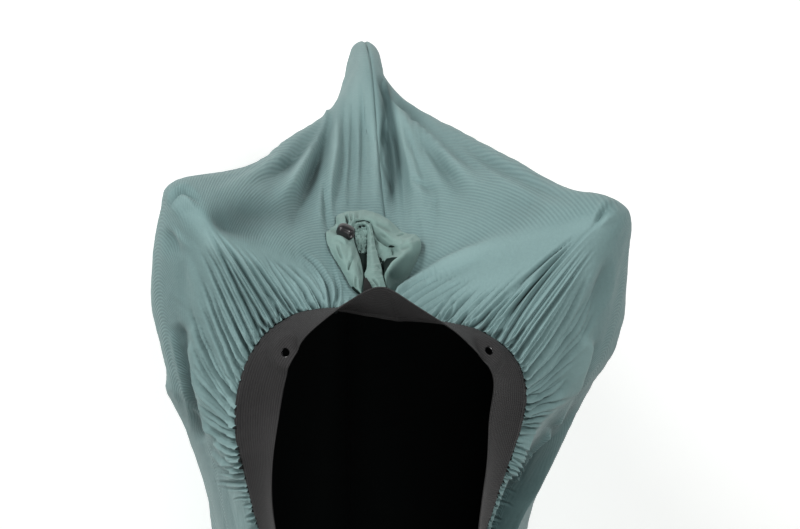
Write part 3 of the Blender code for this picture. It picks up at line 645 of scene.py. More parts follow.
drapes = [
    # down the front from the point, left of the seam
    (363, 84, 362, 158, 360, 230, -2.0, 1.6, 1.4), (353, 84, 351, 150, 347, 230, -2.6, 2.4, 2.2),
    (345, 92, 341, 162, 330, 232, -3.4, 2.4, 2.8), (349, 110, 346, 176, 340, 232, 2.2, 2.0, 2.0),
    (338, 108, 333, 156, 314, 220, 5.0, 4.0, 4.0), (334, 100, 318, 159, 284, 248, -14.0, 5.4, 5.0),
    (329, 112, 308, 158, 262, 212, 6.0, 3.0, 3.0), (326, 112, 296, 152, 238, 198, -12.0, 5.4, 5.0),
    (318, 120, 282, 150, 238, 176, 3.4, 3.0, 2.6), (327, 168, 324, 200, 332, 244, -5.0, 2.0, 1.8),
    (357, 104, 357, 160, 354, 220, 1.6, 1.8, 1.8),
    # right of the seam
    (381, 96, 388, 155, 391, 240, -12.5, 2.3, 3.8), (378, 84, 384, 112, 387, 146, 2.6, 2.4, 2.4),
    (388, 100, 397, 150, 405, 236, -9.0, 3.0, 3.2), (386, 92, 404, 130, 426, 240, 6.0, 3.2, 3.4),
    (392, 104, 412, 150, 436, 212, -6.0, 2.0, 2.6), (396, 104, 424, 150, 455, 208, 3.8, 2.6, 2.4),
    (385, 84, 404, 106, 440, 134, -7.0, 2.8, 3.2), (387, 96, 432, 138, 480, 194, 7.0, 2.6, 3.0),
    (398, 96, 446, 146, 520, 184, -8.0, 3.6, 4.2), (406, 126, 440, 164, 476, 214, -7.0, 4.6, 4.6),
    (409, 176, 425, 187, 446, 189, -3.6, 1.6, 2.2), (438, 205, 462, 208, 480, 210, -1.1, 1.2, 1.6),
    (386, 106, 391, 124, 396, 140, -2.4, 1.0, 1.0), (384, 118, 393, 136, 397, 152, -1.8, 0.9, 0.9),
    (379, 127, 388, 136, 396, 148, 1.8, 1.0, 1.0), (386, 140, 382, 160, 392, 174, -2.6, 0.9, 1.1),
    (384, 168, 391, 184, 388, 204, -3.2, 1.0, 1.2), (414, 206, 420, 236, 421, 262, -1.2, 1.6, 1.6),
    (434, 186, 436, 214, 432, 244, -1.4, 1.6, 1.8), (398, 214, 404, 240, 414, 262, 1.6, 2.0, 2.0),
    # beside the outline, from the point to the far corners
    (414, 108, 480, 154, 604, 214, -7.0, 4.0, 3.4), (420, 108, 500, 160, 592, 200, 3.0, 3.0, 3.0),
    (312, 131, 250, 166, 196, 190, -6.0, 3.2, 2.6), (318, 128, 256, 171, 198, 198, 5.0, 2.6, 3.4),
    # under the corners
    (596, 228, 601, 214, 620, 204, -6.5, 1.6, 2.4), (420, 274, 490, 244, 566, 222, 3.2, 3.6, 6.0),
    (169, 212, 183, 192, 203, 210, -8.0, 1.6, 1.8), (171, 216, 184, 200, 199, 216, 4.5, 3.0, 3.0),
    (169, 226, 172, 238, 186, 258, -6.0, 2.4, 4.0), (202, 206, 236, 226, 290, 236, -11.0, 11.0, 9.0),
    (222, 200, 266, 208, 312, 190, -9.0, 12.0, 10.0), (186, 246, 196, 292, 205, 330, 2.4, 2.6, 3.4),
    (609, 250, 599, 292, 580, 338, -7.0, 3.4, 4.2), (560, 196, 520, 206, 470, 232, -3.0, 9.0, 9.0),
]
# cloth that turns from the light, or towards it where negative: how dark, then the widths as above
turned = [
    (384, 70, 392, 124, 395, 218, 1.25, 3.6, 8.5), (388, 74, 404, 100, 430, 120, 0.55, 3.0, 5.0),
    (204, 206, 255, 214, 318, 206, 0.26, 15.0, 15.0), (360, 46, 354, 90, 348, 132, -0.34, 9.0, 6.0),
]
sideLedges = [
    (590, 334, 573, 386, 551, 428, 4.5, 3.5, 9.0), (551, 428, 524, 455, 512, 482, 4.5, 3.0, 7.0),
    (188, 340, 199, 396, 214, 440, 2.2, 7.5, 4.0), (214, 440, 226, 452, 244, 470, 1.8, 7.0, 3.0),
    (180, 320, 190, 390, 204, 444, -3.4, 6.0, 7.0), (171, 330, 183, 386, 194, 436, 1.4, 1.6, 2.4),
    (212, 452, 226, 466, 240, 474, 1.4, 1.6, 2.4), (560, 470, 570, 440, 582, 416, 2.0, 1.5, 2.5),
]
# creases that also show in the outline
notches = [(381, 79, 386, 100, 393, 124, -5.5, 1.4, 3.0), (329, 109, 325, 124, 314, 150, 2.5, 2.4, 2.0)]

gathers = {
    "seed": 61, "sharpness": 1.45, "strength": 2.0,
    "between": (0.7, 1.6), "fine": 0.9,    # height and width of the fine folds between the long ones
    # puckers: from one to the next, height, length and width, and how far they swerve
    "pitch": 3.1, "height": (0.9, 2.5), "length": (7, 46), "width": (1.0, 1.7), "swerve": 0.22,
    # how squarely a face is seen where its folds begin, and from there to their full height
    "seen": (0.06, 0.22), "drapesSeen": (0.12, 0.30),
    # height in metres that counts as full light or shade
    "deepest": 0.0080, "highest": 0.022, "drapeDeepest": 0.017,
    "crumples": ((0.0006, 70, 40), (0.0003, 190, 110)),   # height and cells along s and t
}


def inView(p):
    # picture x and y of points, and the place they are seen from
    right, up, back = (np.array(q) for q in lookAxes())
    width, height = studio["imageSize"]
    eye = eyePlace(right, up, back)
    off = p - eye
    scale = studio["focalPixels"] / -(off @ back)
    return np.stack([width / 2 + off @ right * scale, height / 2 - off @ up * scale], -1), eye


def bend(start, middle, end, count):
    # smooth run through three points
    f = np.linspace(0, 1, count)[:, None]
    a, b, c = (np.array(q, float) for q in (start, middle, end))
    share = np.linalg.norm(b - a) / (np.linalg.norm(b - a) + np.linalg.norm(c - b) + 1e-9)
    hold = (b - a * (1 - share) ** 2 - c * share ** 2) / (2 * share * (1 - share))
    return a * (1 - f) ** 2 + 2 * hold * f * (1 - f) + c * f ** 2


def foldAlong(h, xy, run, height, left, right, lead, tail, grow=-0.35):
    # adds one fold to the heights of the points near its run
    reach = 3.2 * max(left, right) * max(1, 1 + grow)
    low, high = run.min(0) - reach, run.max(0) + reach
    near = np.nonzero(((xy > low) & (xy < high)).all(-1))
    q = xy[near]
    if not len(q):
        return
    best, signed, along = np.full(len(q), 1e9), np.zeros(len(q)), np.zeros(len(q))
    steps = np.concatenate([[0], np.cumsum(np.linalg.norm(np.diff(run, axis=0), axis=1))])
    for a, b, start in zip(run, run[1:], steps):
        d = b - a
        size = np.linalg.norm(d) + 1e-9
        f = np.clip((q - a) @ d / size ** 2, 0, 1)
        off = q - a - f[:, None] * d
        gap = np.hypot(off[:, 0], off[:, 1])
        side = np.sign(d[0] * off[:, 1] - d[1] * off[:, 0])
        closer = gap < best
        best = np.where(closer, gap, best)
        signed = np.where(closer, gap * side, signed)
        along = np.where(closer, (start + f * size) / steps[-1], along)
    # picture y runs down, so a positive sign is the right of the run
    w = np.where(signed > 0, right, left) * (1 + grow * along)
    d = np.abs(signed) / w
    fade = smoothStep((1.0 - along) / tail) * (smoothStep(along / lead) if lead else 1.0)
    shape = np.exp(-d ** gathers["sharpness"]) - 0.28 * np.exp(-((d - 2.1) / 0.9) ** 2)
    h[near] += 0.001 * height * fade * shape


def addFolds(h, xy, rows, lead, tail, grow=-0.35):
    for x0, y0, x1, y1, x2, y2, height, left, right in rows:
        foldAlong(h, xy, bend((x0, y0), (x1, y1), (x2, y2), 12), height, left, right, lead, tail, grow)


def fineFolds(rng, fan):
    # one between each two long folds of the fan
    rows = []
    for first, second in zip(fan, fan[1:]):
        if min(first[6], second[6]) > 0 or max(first[6], second[6]) > 0:
            continue
        f = rng.uniform(0.35, 0.65)
        line = [a * (1 - f) + b * f for a, b in zip(first[:6], second[:6])]
        rows.append((*line, -rng.uniform(*gathers["between"]), gathers["fine"], gathers["fine"]))
    return rows


def puckers(h, xy, rng, side, net, fan):
    # short folds where the knit is gathered on the elastic, in line with the long folds beside them
    s = np.linspace(0, 1, 1200)
    edge = inView(readNet(net, (side + 1) // 2, s, 0 * s))[0]
    run = np.concatenate([[0], np.cumsum(np.linalg.norm(np.diff(edge, axis=0), axis=1))])
    outwards = np.gradient(edge, axis=0)[:, ::-1] * [side, -side]
    outwards /= np.linalg.norm(outwards, axis=1, keepdims=True)
    ways = []
    for row in fan:
        aim = np.array(row[2:4]) - row[:2]
        mark = run[np.argmin(np.linalg.norm(edge - row[:2], axis=1))]
        ways.append((mark, *(aim / np.linalg.norm(aim))))
    marks, *aims = np.array(sorted(ways, key=lambda way: way[0])).T
    at = 2.0
    while at < run[-1] - 6:
        k = np.searchsorted(run, at)
        aim = np.array([np.interp(at, marks, a) for a in aims])
        blend = smoothStep((at - marks[-1]) / 40) if at > marks[-1] else smoothStep((marks[0] - at) / 25)
        aim = aim * (1 - blend) + outwards[k] * blend
        aim /= np.linalg.norm(aim) + 1e-9
        low, high = gathers["length"]
        length = low * (high / low) ** (rng.uniform(0, 1) ** 1.3) * (1 - 0.5 * blend)
        swerve = np.array([-aim[1], aim[0]]) * rng.uniform(-gathers["swerve"], gathers["swerve"]) * length
        line = bend(edge[k] - aim * 1.5, edge[k] + aim * length / 2 + swerve, edge[k] + aim * length, 7)
        wide = rng.uniform(*gathers["width"]) * (0.8 + 0.5 * length / high)
        foldAlong(h, xy, line, -rng.uniform(*gathers["height"]), wide, wide, 0, 0.75)
        at += gathers["pitch"] * rng.uniform(0.6, 1.5)


def foldHeights(side, net, p, n, s, t):
    # height of the folds over the net, and the painted shading of each place: painted shade in the valleys
    # and where the cloth turns from the light, painted highlight on the crests
    xy, eye = inView(p)
    h, broad, dark = np.zeros((3, *s.shape))
    fan = gatherRight if side > 0 else gatherLeft
    rng = np.random.default_rng(gathers["seed"] + side)
    addFolds(h, xy, fan, 0, 0.5)
    addFolds(h, xy, fineFolds(rng, fan), 0, 0.6)
    addFolds(h, xy, sideLedges, 0.12, 0.12, 0)
    addFolds(broad, xy, drapes, 0.35, 0.6, 1.1)
    # painted shade of the cloth that turns from the light, painted highlight where negative
    addFolds(dark, xy, turned, 0.15, 0.4, 0)
    puckers(h, xy, rng, side, net, fan)
    # the folds lie on the upper faces, and die out where the cloth turns under
    seen = ((eye - p) * n).sum(-1) / np.linalg.norm(eye - p, axis=-1)
    h *= gathers["strength"] * fadeIn(seen, *gathers["seen"])
    upper = fadeIn(seen, *gathers["drapesSeen"])
    broad *= upper
    # painted shade grows with the depth of each valley and drape, painted highlight with the height of each
    # crest, and the table of turned cloth adds its own painted shade
    depth = -h / np.where(h < 0, gathers["deepest"], gathers["highest"]) * fadeIn(t, 0, 0.006)
    paintedShading = depth - broad / gathers["drapeDeepest"] + 1000 * dark * upper
    h += broad
    # flatter along the front edge of the opening
    h *= 1 - np.where(h < 0, 0.92, 0.6) * fadeIn(-s, -0.13, 0.05) * fadeIn(-t, -0.022, 0.018)
    addFolds(h, xy, notches, 0.08, 0.4, 0.6)
    for height, across, along in gathers["crumples"]:
        h += height * latticeNoise(rng, s, t, across, along) * fadeIn(t, 0, 0.04)
    return h, paintedShading


def latticeNoise(rng, s, t, across, along):
    grid = rng.uniform(-1, 1, (across + 3, along + 3))
    x, y = s * across, t * along
    i, j = np.clip(x.astype(int), 0, across), np.clip(y.astype(int), 0, along)
    fx, fy = smoothStep(x - i), smoothStep(y - j)
    return (grid[i, j] * (1 - fx) * (1 - fy) + grid[i + 1, j] * fx * (1 - fy)
            + grid[i, j + 1] * (1 - fx) * fy + grid[i + 1, j + 1] * fx * fy)


def arcLengths(p):
    u, v = (np.cumsum(np.linalg.norm(np.diff(p, axis=m), axis=2), axis=m) for m in (0, 1))
    return np.pad(u, ((1, 0), (0, 0))), np.pad(v, ((0, 0), (1, 0)))


def graded(stops, counts):
    rows = [np.linspace(a, b, n, endpoint=False) for a, b, n in zip(stops, stops[1:], counts)]
    return np.concatenate(rows + [[stops[-1]]])


# below the gathered strip beside the elastic the knit drops, and comes out again at the flank
tucks = {
    # shares of the way where it starts outwards and has dropped, and its sag in metres
    "outFrom": 0.22, "dropped": 0.42, "sag": 0.014,
    "right": {"s": (0.36, 0.40, 0.42, 0.474, 0.526, 0.579, 0.63, 0.80),
              "wide": (0.046, 0.038, 0.032, 0.018, 0.0095, 0.008, 0.007, 0.006),
              "from": (0.385, 0.12), "to": (0.80, 0.22), "share": 0.9, "flank": 0.42},
    "left": {"s": (0.36, 0.42, 0.46, 0.50, 0.80), "wide": (0.040, 0.030, 0.018, 0.009, 0.008),
             "from": (0.40, 0.06), "to": (0.60, 0.10), "share": 0.10, "flank": 0.40},
}


def tuckUnder(side, p, sRows, tRows):
    shape = tucks["right" if side > 0 else "left"]
    v = arcLengths(p)[1]
    depth = np.zeros(p.shape[:2])
    for i, s in enumerate(sRows):
        share = shape["share"] * fadeIn(s, *shape["from"]) * fadeIn(-s, -shape["to"][0], shape["to"][1])
        if share <= 0:
            continue
        start, end = np.interp(s, shape["s"], shape["wide"]), np.interp(shape["flank"], tRows, v[i])
        first, last = (np.array([np.interp(at, v[i], p[i, :, m]) for m in range(3)]) for at in (start, end))
        f = np.clip((v[i] - start) / (end - start), 0, 1)
        sideways, down = fadeIn(f, tucks["outFrom"], 1 - tucks["outFrom"]), fadeIn(f, 0, tucks["dropped"])
        way = first + (last - first) * np.stack([sideways, sideways, down], -1)
        way[:, 2] -= tucks["sag"] * np.sin(pi * f)
        inside = ((f > 0) & (f < 1))[:, None]
        p[i] = np.where(inside, p[i] * (1 - share) + way * share, p[i])
        # painted shade of the trough, darkest in its middle
        depth[i] = share ** 1.5 * np.sin(pi * f ** 0.8) * fadeIn(f, 0, 0.08)
    return p, depth


# the ribs of the knit run round the front of the opening, and straight down on the sides
ribs = {
    "right": (385, 290, 0.604), "left": (330, 300, 1.26),      # middle x, y in the view, and stretch
    "metresPerPixel": 0.00102,
    # straight down from this s, and below this t, each with its fade; round the front up to this s
    "sidesFrom": (0.235, 0.03), "sidesBelow": (0.20, 0.06), "frontUntil": 0.4,
    # plain round the front point: its middle, stretch, radius and fade, and the least that still shows
    "point": (385, 60), "pointStretch": 1.3, "pointFade": (60, 110), "least": 0.12, "fanFade": (-6, 16),
    # the gathered parts below these lines x, y are plain
    "rightFan": ((385, 302), (392, 290), (485, 246), (600, 214)),
    "leftFan": ((200, 214), (240, 238), (300, 262), (345, 303), (386, 302)),
}


def ribField(side, xy, s, t, v):
    x, y = xy[..., 0], xy[..., 1]
    middle, low, stretch = ribs["right" if side > 0 else "left"]
    across = np.maximum(side * (x - middle), 0) * stretch
    roundFront = (across ** 3 + np.maximum(low - y, 0) ** 3) ** (1 / 3) * ribs["metresPerPixel"]
    above = np.interp(x, *zip(*ribs["rightFan" if side > 0 else "leftFan"])) - y
    down = fadeIn(s, *ribs["sidesFrom"]) * fadeIn(t, *ribs["sidesBelow"])
    px, py = ribs["point"]
    ribbed = fadeIn(np.hypot((x - px) * ribs["pointStretch"], y - py), *ribs["pointFade"])
    ribbed = ribs["least"] + (1 - ribs["least"]) * ribbed
    show = np.maximum(fadeIn(above, *ribs["fanFade"]) * (1 - down) * ribbed, down)
    return np.where(s < ribs["frontUntil"], roundFront, v), down, show


def panelSurface(net, k, sRows, tRows):
    side = (-1, 1)[k]
    s, t = np.meshgrid(sRows, tRows, indexing="ij")
    p, depth = tuckUnder(side, roundEnds(readNet(net, k, s, t), side), sRows, tRows)
    n = gridNormals(p, side)
    n[0, :, 0] = n[-1, :, 0] = n[:, -1, 0] = 0
    edgeOn = np.linalg.norm(n, axis=-1, keepdims=True) < 0.05
    outwards = (p - np.array(panel["middle"])) * np.array([0, 1, 1])
    n = np.where(edgeOn, outwards, n)
    n /= np.linalg.norm(n, axis=-1, keepdims=True)
    u, v = arcLengths(p)
    h, paintedShading = foldHeights(side, net, p, n, s, t)
    # the seam pulls the edge down into a fine groove
    groove = panel["seamDepth"] * np.exp(-(p[..., 0] / panel["seamWidth"]) ** 2)
    h -= np.where(t > panel["seamFrom"], groove, 0)
    # the painted shade of the trough joins the painted shading of the folds
    paintedShading = np.clip(paintedShading + depth * knitLook["tuckShade"], -1, 1)
    return p, n, h, u, paintedShading, *ribField(side, inView(p)[0], s, t, v)


# mesh helpers

def newPiece(name, verts, faces, materials, smooth=True):
    mesh = bpy.data.meshes.new(name)
    mesh.from_pydata(verts, [], faces)
    for m in materials:
        mesh.materials.append(m)
    mesh.polygons.foreach_set("use_smooth", np.full(len(mesh.polygons), smooth))
    mesh.update()
    return addObject(name, mesh)


def paint(mesh, name, values):
    # one number for each point, for the materials
    layer = mesh.attributes.new(name, "FLOAT", "POINT")
    layer.data.foreach_set("value", values.astype(np.float32))


def layFlat(mesh, u, v):
    # metres along and across the cloth, for the materials
    layer = mesh.uv_layers.new(name="cut")
    loops = np.zeros(len(mesh.loops), np.int32)
    mesh.loops.foreach_get("vertex_index", loops)
    layer.data.foreach_set("uv", np.stack([u, v], -1)[loops].astype(np.float32).ravel())


def takeSecond(mesh, first, last=None):
    # these faces take the second material
    which = np.zeros(len(mesh.polygons), np.int32)
    which[first:last] = 1
    mesh.polygons.foreach_set("material_index", which)


def gridFaces(ns, nt, first=0):
    i, j = np.meshgrid(np.arange(ns - 1), np.arange(nt - 1), indexing="ij")
    a = first + i * nt + j
    return np.stack([a, a + nt, a + nt + 1, a + 1], -1).reshape(-1, 4)


def shellPiece(name, outer, inner, materials, u, v, closed=False):
    # closed skin between two equal grids; the inner face takes the second material if there is one
    ns, nt = outer.shape[:2]
    cols, half = ns if closed else ns - 1, ns * nt
    front = gridFaces(cols + 1, nt) % half
    rims = []
    for j in (0, nt - 1):
        a = np.arange(cols) * nt + j
        b = (a + nt) % half
        quad = np.stack([b, a, a + half, b + half], -1)
        rims.append(quad if j == 0 else quad[:, ::-1])
    if not closed:
        for i in (0, ns - 1):
            a = i * nt + np.arange(nt - 1)
            quad = np.stack([a, a + 1, a + 1 + half, a + half], -1)
            rims.append(quad if i == 0 else quad[:, ::-1])
    faces = np.concatenate([front, front[:, ::-1] + half, *rims]).tolist()
    verts = np.concatenate([outer.reshape(-1, 3), inner.reshape(-1, 3)]).tolist()
    piece = newPiece(name, verts, faces, materials)
    if len(materials) > 1:
        takeSecond(piece.data, len(front), 2 * len(front))
    layFlat(piece.data, np.tile(u.ravel(), 2), np.tile(v.ravel(), 2))
    return outward(piece)


def fromWork(name, bm, material):
    # a piece from a bmesh
    bmesh.ops.recalc_face_normals(bm, faces=bm.faces)
    mesh = bpy.data.meshes.new(name)
    bm.to_mesh(mesh)
    bm.free()
    mesh.materials.append(material)
    mesh.polygons.foreach_set("use_smooth", np.full(len(mesh.polygons), True))
    return outward(addObject(name, mesh))


def standAt(middle, axis):
    return Matrix.Translation(Vector(middle)) @ Vector(axis).to_track_quat("Z", "Y").to_matrix().to_4x4()


def finishPiece(piece, node):
    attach(piece, "root")
    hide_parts(node)


def outward(piece):
    # turns a closed piece the right way out
    mesh = piece.data
    mesh.calc_loop_triangles()
    co = np.zeros(len(mesh.vertices) * 3)
    mesh.vertices.foreach_get("co", co)
    tri = np.zeros(len(mesh.loop_triangles) * 3, np.int32)
    mesh.loop_triangles.foreach_get("vertices", tri)
    a, b, c = co.reshape(-1, 3)[tri.reshape(-1, 3)].transpose(1, 0, 2)
    if (np.cross(a, b) * c).sum() < 0:
        mesh.flip_normals()
    return piece


# knit panels

panel = {
    "sStops": (0.0, 0.02, 0.58, 0.78, 1.0), "sCounts": ((16, 736, 72, 40)),
    "tStops": (0.0, 0.10, 0.36, 0.62, 1.0), "tCounts": ((32, 42, 16, 10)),
    "inside": (4, 2),                      # one cell of the inner face spans this many of the outer
    "flat": (1.55, 0.80), "area": 0.98, "middle": (0, -0.36, -0.5),
    "seamDepth": 0.0022, "seamWidth": 0.0016, "seamFrom": 0.02,   # metres, and t where the groove starts
}


def lowest(h, stepS, stepT):
    # lowest height around each coarse point
    out = np.full(h[::stepS, ::stepT].shape, 1e9)
    wide = np.pad(h, ((stepS, stepS), (stepT, stepT)), mode="edge")
    for i in range(2 * stepS + 1):
        for j in range(2 * stepT + 1):
            out = np.minimum(out, wide[i::stepS, j::stepT][:out.shape[0], :out.shape[1]])
    return out


def panelRims(ns, nt, cs, ct):
    # faces round the edge, from the fine outer grid to the coarse inner grid
    stepS, stepT = panel["inside"]
    rims = []
    for j, c in ((0, 0), (nt - 1, ct - 1)):
        for i in range(cs - 1):
            face = [(i * stepS + m) * nt + j for m in range(stepS, -1, -1)]
            face += [ns * nt + i * ct + c, ns * nt + (i + 1) * ct + c]
            rims.append(face if j == 0 else face[::-1])
    for i, c in ((0, 0), (ns - 1, cs - 1)):
        for j in range(ct - 1):
            face = [i * nt + j * stepT + m for m in range(stepT + 1)]
            face += [ns * nt + c * ct + j + 1, ns * nt + c * ct + j]
            rims.append(face if i == 0 else face[::-1])
    return rims


def makePanel(net, k, name):
    side = (-1, 1)[k]
    sRows = graded(panel["sStops"], panel["sCounts"])
    tRows = graded(panel["tStops"], panel["tCounts"])
    p, n, h, u, paintedShading, v, turn, show = panelSurface(net, k, sRows, tRows)
    stepS, stepT = panel["inside"]
    outer = p + n * (h + cover["thickness"] / 2)[..., None]
    inner = (p[::stepS, ::stepT]
             + n[::stepS, ::stepT] * (lowest(h, stepS, stepT) - cover["thickness"] / 2)[..., None])
    for g in (outer, inner):
        g[..., 0] = side * np.maximum(side * g[..., 0], cover["seamGap"])
        g[0, :, 0] = g[-1, :, 0] = g[:, -1, 0] = side * cover["seamGap"]
    ns, nt, cs, ct = *outer.shape[:2], *inner.shape[:2]
    front, back = gridFaces(ns, nt), gridFaces(cs, ct, ns * nt)[:, ::-1]
    verts = np.concatenate([outer.reshape(-1, 3), inner.reshape(-1, 3)]).tolist()
    faces = front.tolist() + back.tolist() + panelRims(ns, nt, cs, ct)
    piece = newPiece(name + "_knit", verts, faces, [knit, knitInsideShaded])
    takeSecond(piece.data, len(front))

    def bothFaces(grid):
        return np.concatenate([grid.ravel(), grid[::stepS, ::stepT].ravel()])

    layFlat(piece.data, bothFaces(u), bothFaces(v))
    for label, grid in (("ribTurn", turn), ("ribShow", show), ("paintedShading", paintedShading)):
        paint(piece.data, label, bothFaces(grid))
    outward(piece)
    finishPiece(piece, name)


# elastic round the opening

band = {
    "flat": (0.050, 1.55), "thick": 0.0018, "thinEdge": 0.55, "edgeGap": 0.0006, "lap": 0.0012,
    "bow": 0.0025, "leastRise": 0.012, "knots": 48, "fineCols": 6, "rows": 15,
    "seed": 5, "ripple": 0.00045, "ripples": 150, "tuck": 0.0016,
    "sewnUnder": (-0.06, -0.02),           # rows of cloth that lie under the knit, as shares of the width
    "pressed": 0.024, "hole": 0.0047, "holeSides": 40, "holeDepth": 0.012,
}


def roundLoop(rows, fine):
    # closed smooth curve through the rows
    n = len(rows)
    i = np.arange(n * fine) // fine
    t = ((np.arange(n * fine) % fine) / fine)[:, None]
    return throughPoints(*(rows[(i + m) % n] for m in (-1, 0, 1, 2)), t)


def sewnLoop(net, count):
    # round the opening: down its right side, and back up its left side
    s = np.linspace(0, 1, count + 1)
    return np.concatenate([readNet(net, 1, s[:-1], 0 * s[:-1]), readNet(net, 0, s[:0:-1], 0 * s[:0:-1])])


def bandEdges(net):
    sewn = sewnLoop(net, band["knots"])
    s = np.linspace(0, 1, band["knots"] + 1)
    right, left = (catmull([row[3:] for row in rows], s * (len(rows) - 1))
                   for rows in (openingRight, openingLeft))
    free = np.concatenate([right[:-1], left[:0:-1]])
    run = ((free - sewn[:, :2]) ** 2).sum(1)
    rise = np.sqrt(np.maximum(band["flat"][0] ** 2 - run, band["leastRise"] ** 2))
    free = np.concatenate([free, (sewn[:, 2] + rise)[:, None]], 1)
    for _ in range(2):
        free = (np.roll(free, 1, 0) + 2 * free + np.roll(free, -1, 0)) / 4
    return sewn, free


def bandSurface(sewn, free, fRows):
    across = free - sewn
    start = (band["edgeGap"] + band["lap"]) / band["flat"][0]
    f = np.array(fRows)[None, :, None]
    p = sewn[:, None] + across[:, None] * (start + f * (1 - start))
    n = np.cross(np.roll(p, -1, 0) - np.roll(p, 1, 0), across[:, None] + 0 * p)
    n /= np.linalg.norm(n, axis=-1, keepdims=True)
    return p + n * band["bow"] * np.sin(pi * np.clip(f, 0, 1)), n


def makeBand(sewn, free, fineSewn, fineFree):
    fRows = np.concatenate([band["sewnUnder"], np.linspace(0.015, 0.985, band["rows"]), [1.0]])
    p, n = bandSurface(fineSewn, fineFree, fRows)
    # pressed flat round the eyelets
    places = [eyeletPlace(sewn, free, side) for side in ("right", "left")]
    for middle, axis in places:
        w = smoothStep(2 - np.linalg.norm(p - middle, axis=-1) * 2 / band["pressed"])[..., None]
        p = p - w * ((p - middle) @ axis)[..., None] * axis
        n = n * (1 - w) + axis * w
        n /= np.linalg.norm(n, axis=-1, keepdims=True)
    # rippled, and tucked under the knit along the sewn edge
    turns = np.linspace(0, 1, len(p), endpoint=False)[:, None]
    across = np.clip(fRows, 0, 1)[None]
    rng = np.random.default_rng(band["seed"])
    ripple = latticeNoise(rng, turns + 0 * across, across + 0 * turns, band["ripples"], 1)
    p += n * (band["ripple"] * ripple * (1 - across) + band["tuck"] * (fRows < 0.01))[..., None]
    edges = (fRows < 0.03) | (fRows > 0.975)
    half = n * np.where(edges, band["thinEdge"], 1.0)[None, :, None] * band["thick"] / 2
    piece = shellPiece("elastic_weave", p + half, p - half, [elastic], *arcLengths(p), closed=True)
    for middle, axis in places:
        cutHole(piece, middle, axis)
    finishPiece(piece, "elastic_band")


def cutHole(piece, middle, axis):
    bm = bmesh.new()
    bmesh.ops.create_cone(bm, cap_ends=True, segments=band["holeSides"], radius1=band["hole"],
                          radius2=band["hole"], depth=band["holeDepth"])
    bm.transform(standAt(middle, axis))
    mesh = bpy.data.meshes.new("hole")
    bm.to_mesh(mesh)
    bm.free()
    cutter = addObject("hole", mesh)
    cut = piece.modifiers.new("hole", "BOOLEAN")
    cut.object, cut.operation = cutter, "DIFFERENCE"
    bakeModifiers(piece)
    bpy.data.objects.remove(cutter, do_unlink=True)


def bakeModifiers(piece):
    graph = bpy.context.evaluated_depsgraph_get()
    mesh = bpy.data.meshes.new_from_object(piece.evaluated_get(graph), preserve_all_data_layers=True,
                                           depsgraph=graph)
    piece.modifiers.clear()
    old = piece.data
    piece.data = mesh
    bpy.data.meshes.remove(old)


# eyelets

eyelet = {
    "right": (11, 4), "left": (82, 6),     # knot along the elastic and eighth of its width
    "turn": 0.9,                           # how much they face upwards
    "bore": 0.0039, "innerRim": 0.0068, "outerRim": 0.0062, "roll": 0.0007, "lift": 0.0003, "dish": 0.0004,
    "throat": 0.0008, "steps": 72,
}


def eyeletPlace(sewn, free, side):
    p, n = (grid[eyelet[side]] for grid in bandSurface(sewn, free, np.linspace(0, 1, 9)))
    axis = n + np.array([0, 0, eyelet["turn"] * np.sign(n[2])])
    return p, axis / np.linalg.norm(axis)


def makeEyelet(sewn, free, side):
    roll, wall, level = eyelet["roll"], eyelet["bore"], band["thick"] / 2 + eyelet["lift"]
    rings = []
    # the inner ring stands on the inner face of the elastic, and the outer one is sunk in it
    for way, rim in ((1, eyelet["innerRim"]), (-1, eyelet["outerRim"])):
        arc = np.radians(np.linspace(-90, 90, 9))
        ring = [(rim - roll + roll * cos(a), roll + roll * sin(a)) for a in arc]
        for f in np.linspace(0.9, 0.12, 8):
            ring.append((wall + (rim - roll - wall) * f, 2 * roll - eyelet["dish"] * (1 - f) ** 2))
        ring.append((wall, 2 * roll - eyelet["throat"]))
        rings.append([(r, level + way * z) for r, z in ring])
    bm = bmesh.new()
    loops = turnedLoops(bm, rings[0] + rings[1][::-1], eyelet["steps"])
    joinLoops(bm, loops + loops[:1])
    bm.transform(standAt(*eyeletPlace(sewn, free, side)))
    finishPiece(fromWork("eyelet_ring_" + side, bm, blackMetal), "eyelet_" + side)


def turnedLoops(bm, outline, count):
    # rings of points from rows of radius and height; a row without radius is one point
    spin = [2 * pi * i / count for i in range(count)]
    return [[bm.verts.new((r * cos(a), r * sin(a), z)) for a in (spin if r else spin[:1])]
            for r, z in outline]


def joinLoops(bm, loops):
    # a band of faces between each two loops; a loop of one point closes an end
    for low, high in zip(loops, loops[1:]):
        count = max(len(low), len(high))
        for a in range(count):
            b = (a + 1) % count
            ends = [low[a % len(low)], low[b % len(low)], high[b % len(high)], high[a % len(high)]]
            bm.faces.new(list(dict.fromkeys(ends)))


# thread

thread = {
    "pitch": 0.0036, "length": 0.0026, "thick": 0.00050, "sunk": 0.00008, "row": 0.07,
    "colour": (0.030, 0.030, 0.031),
}


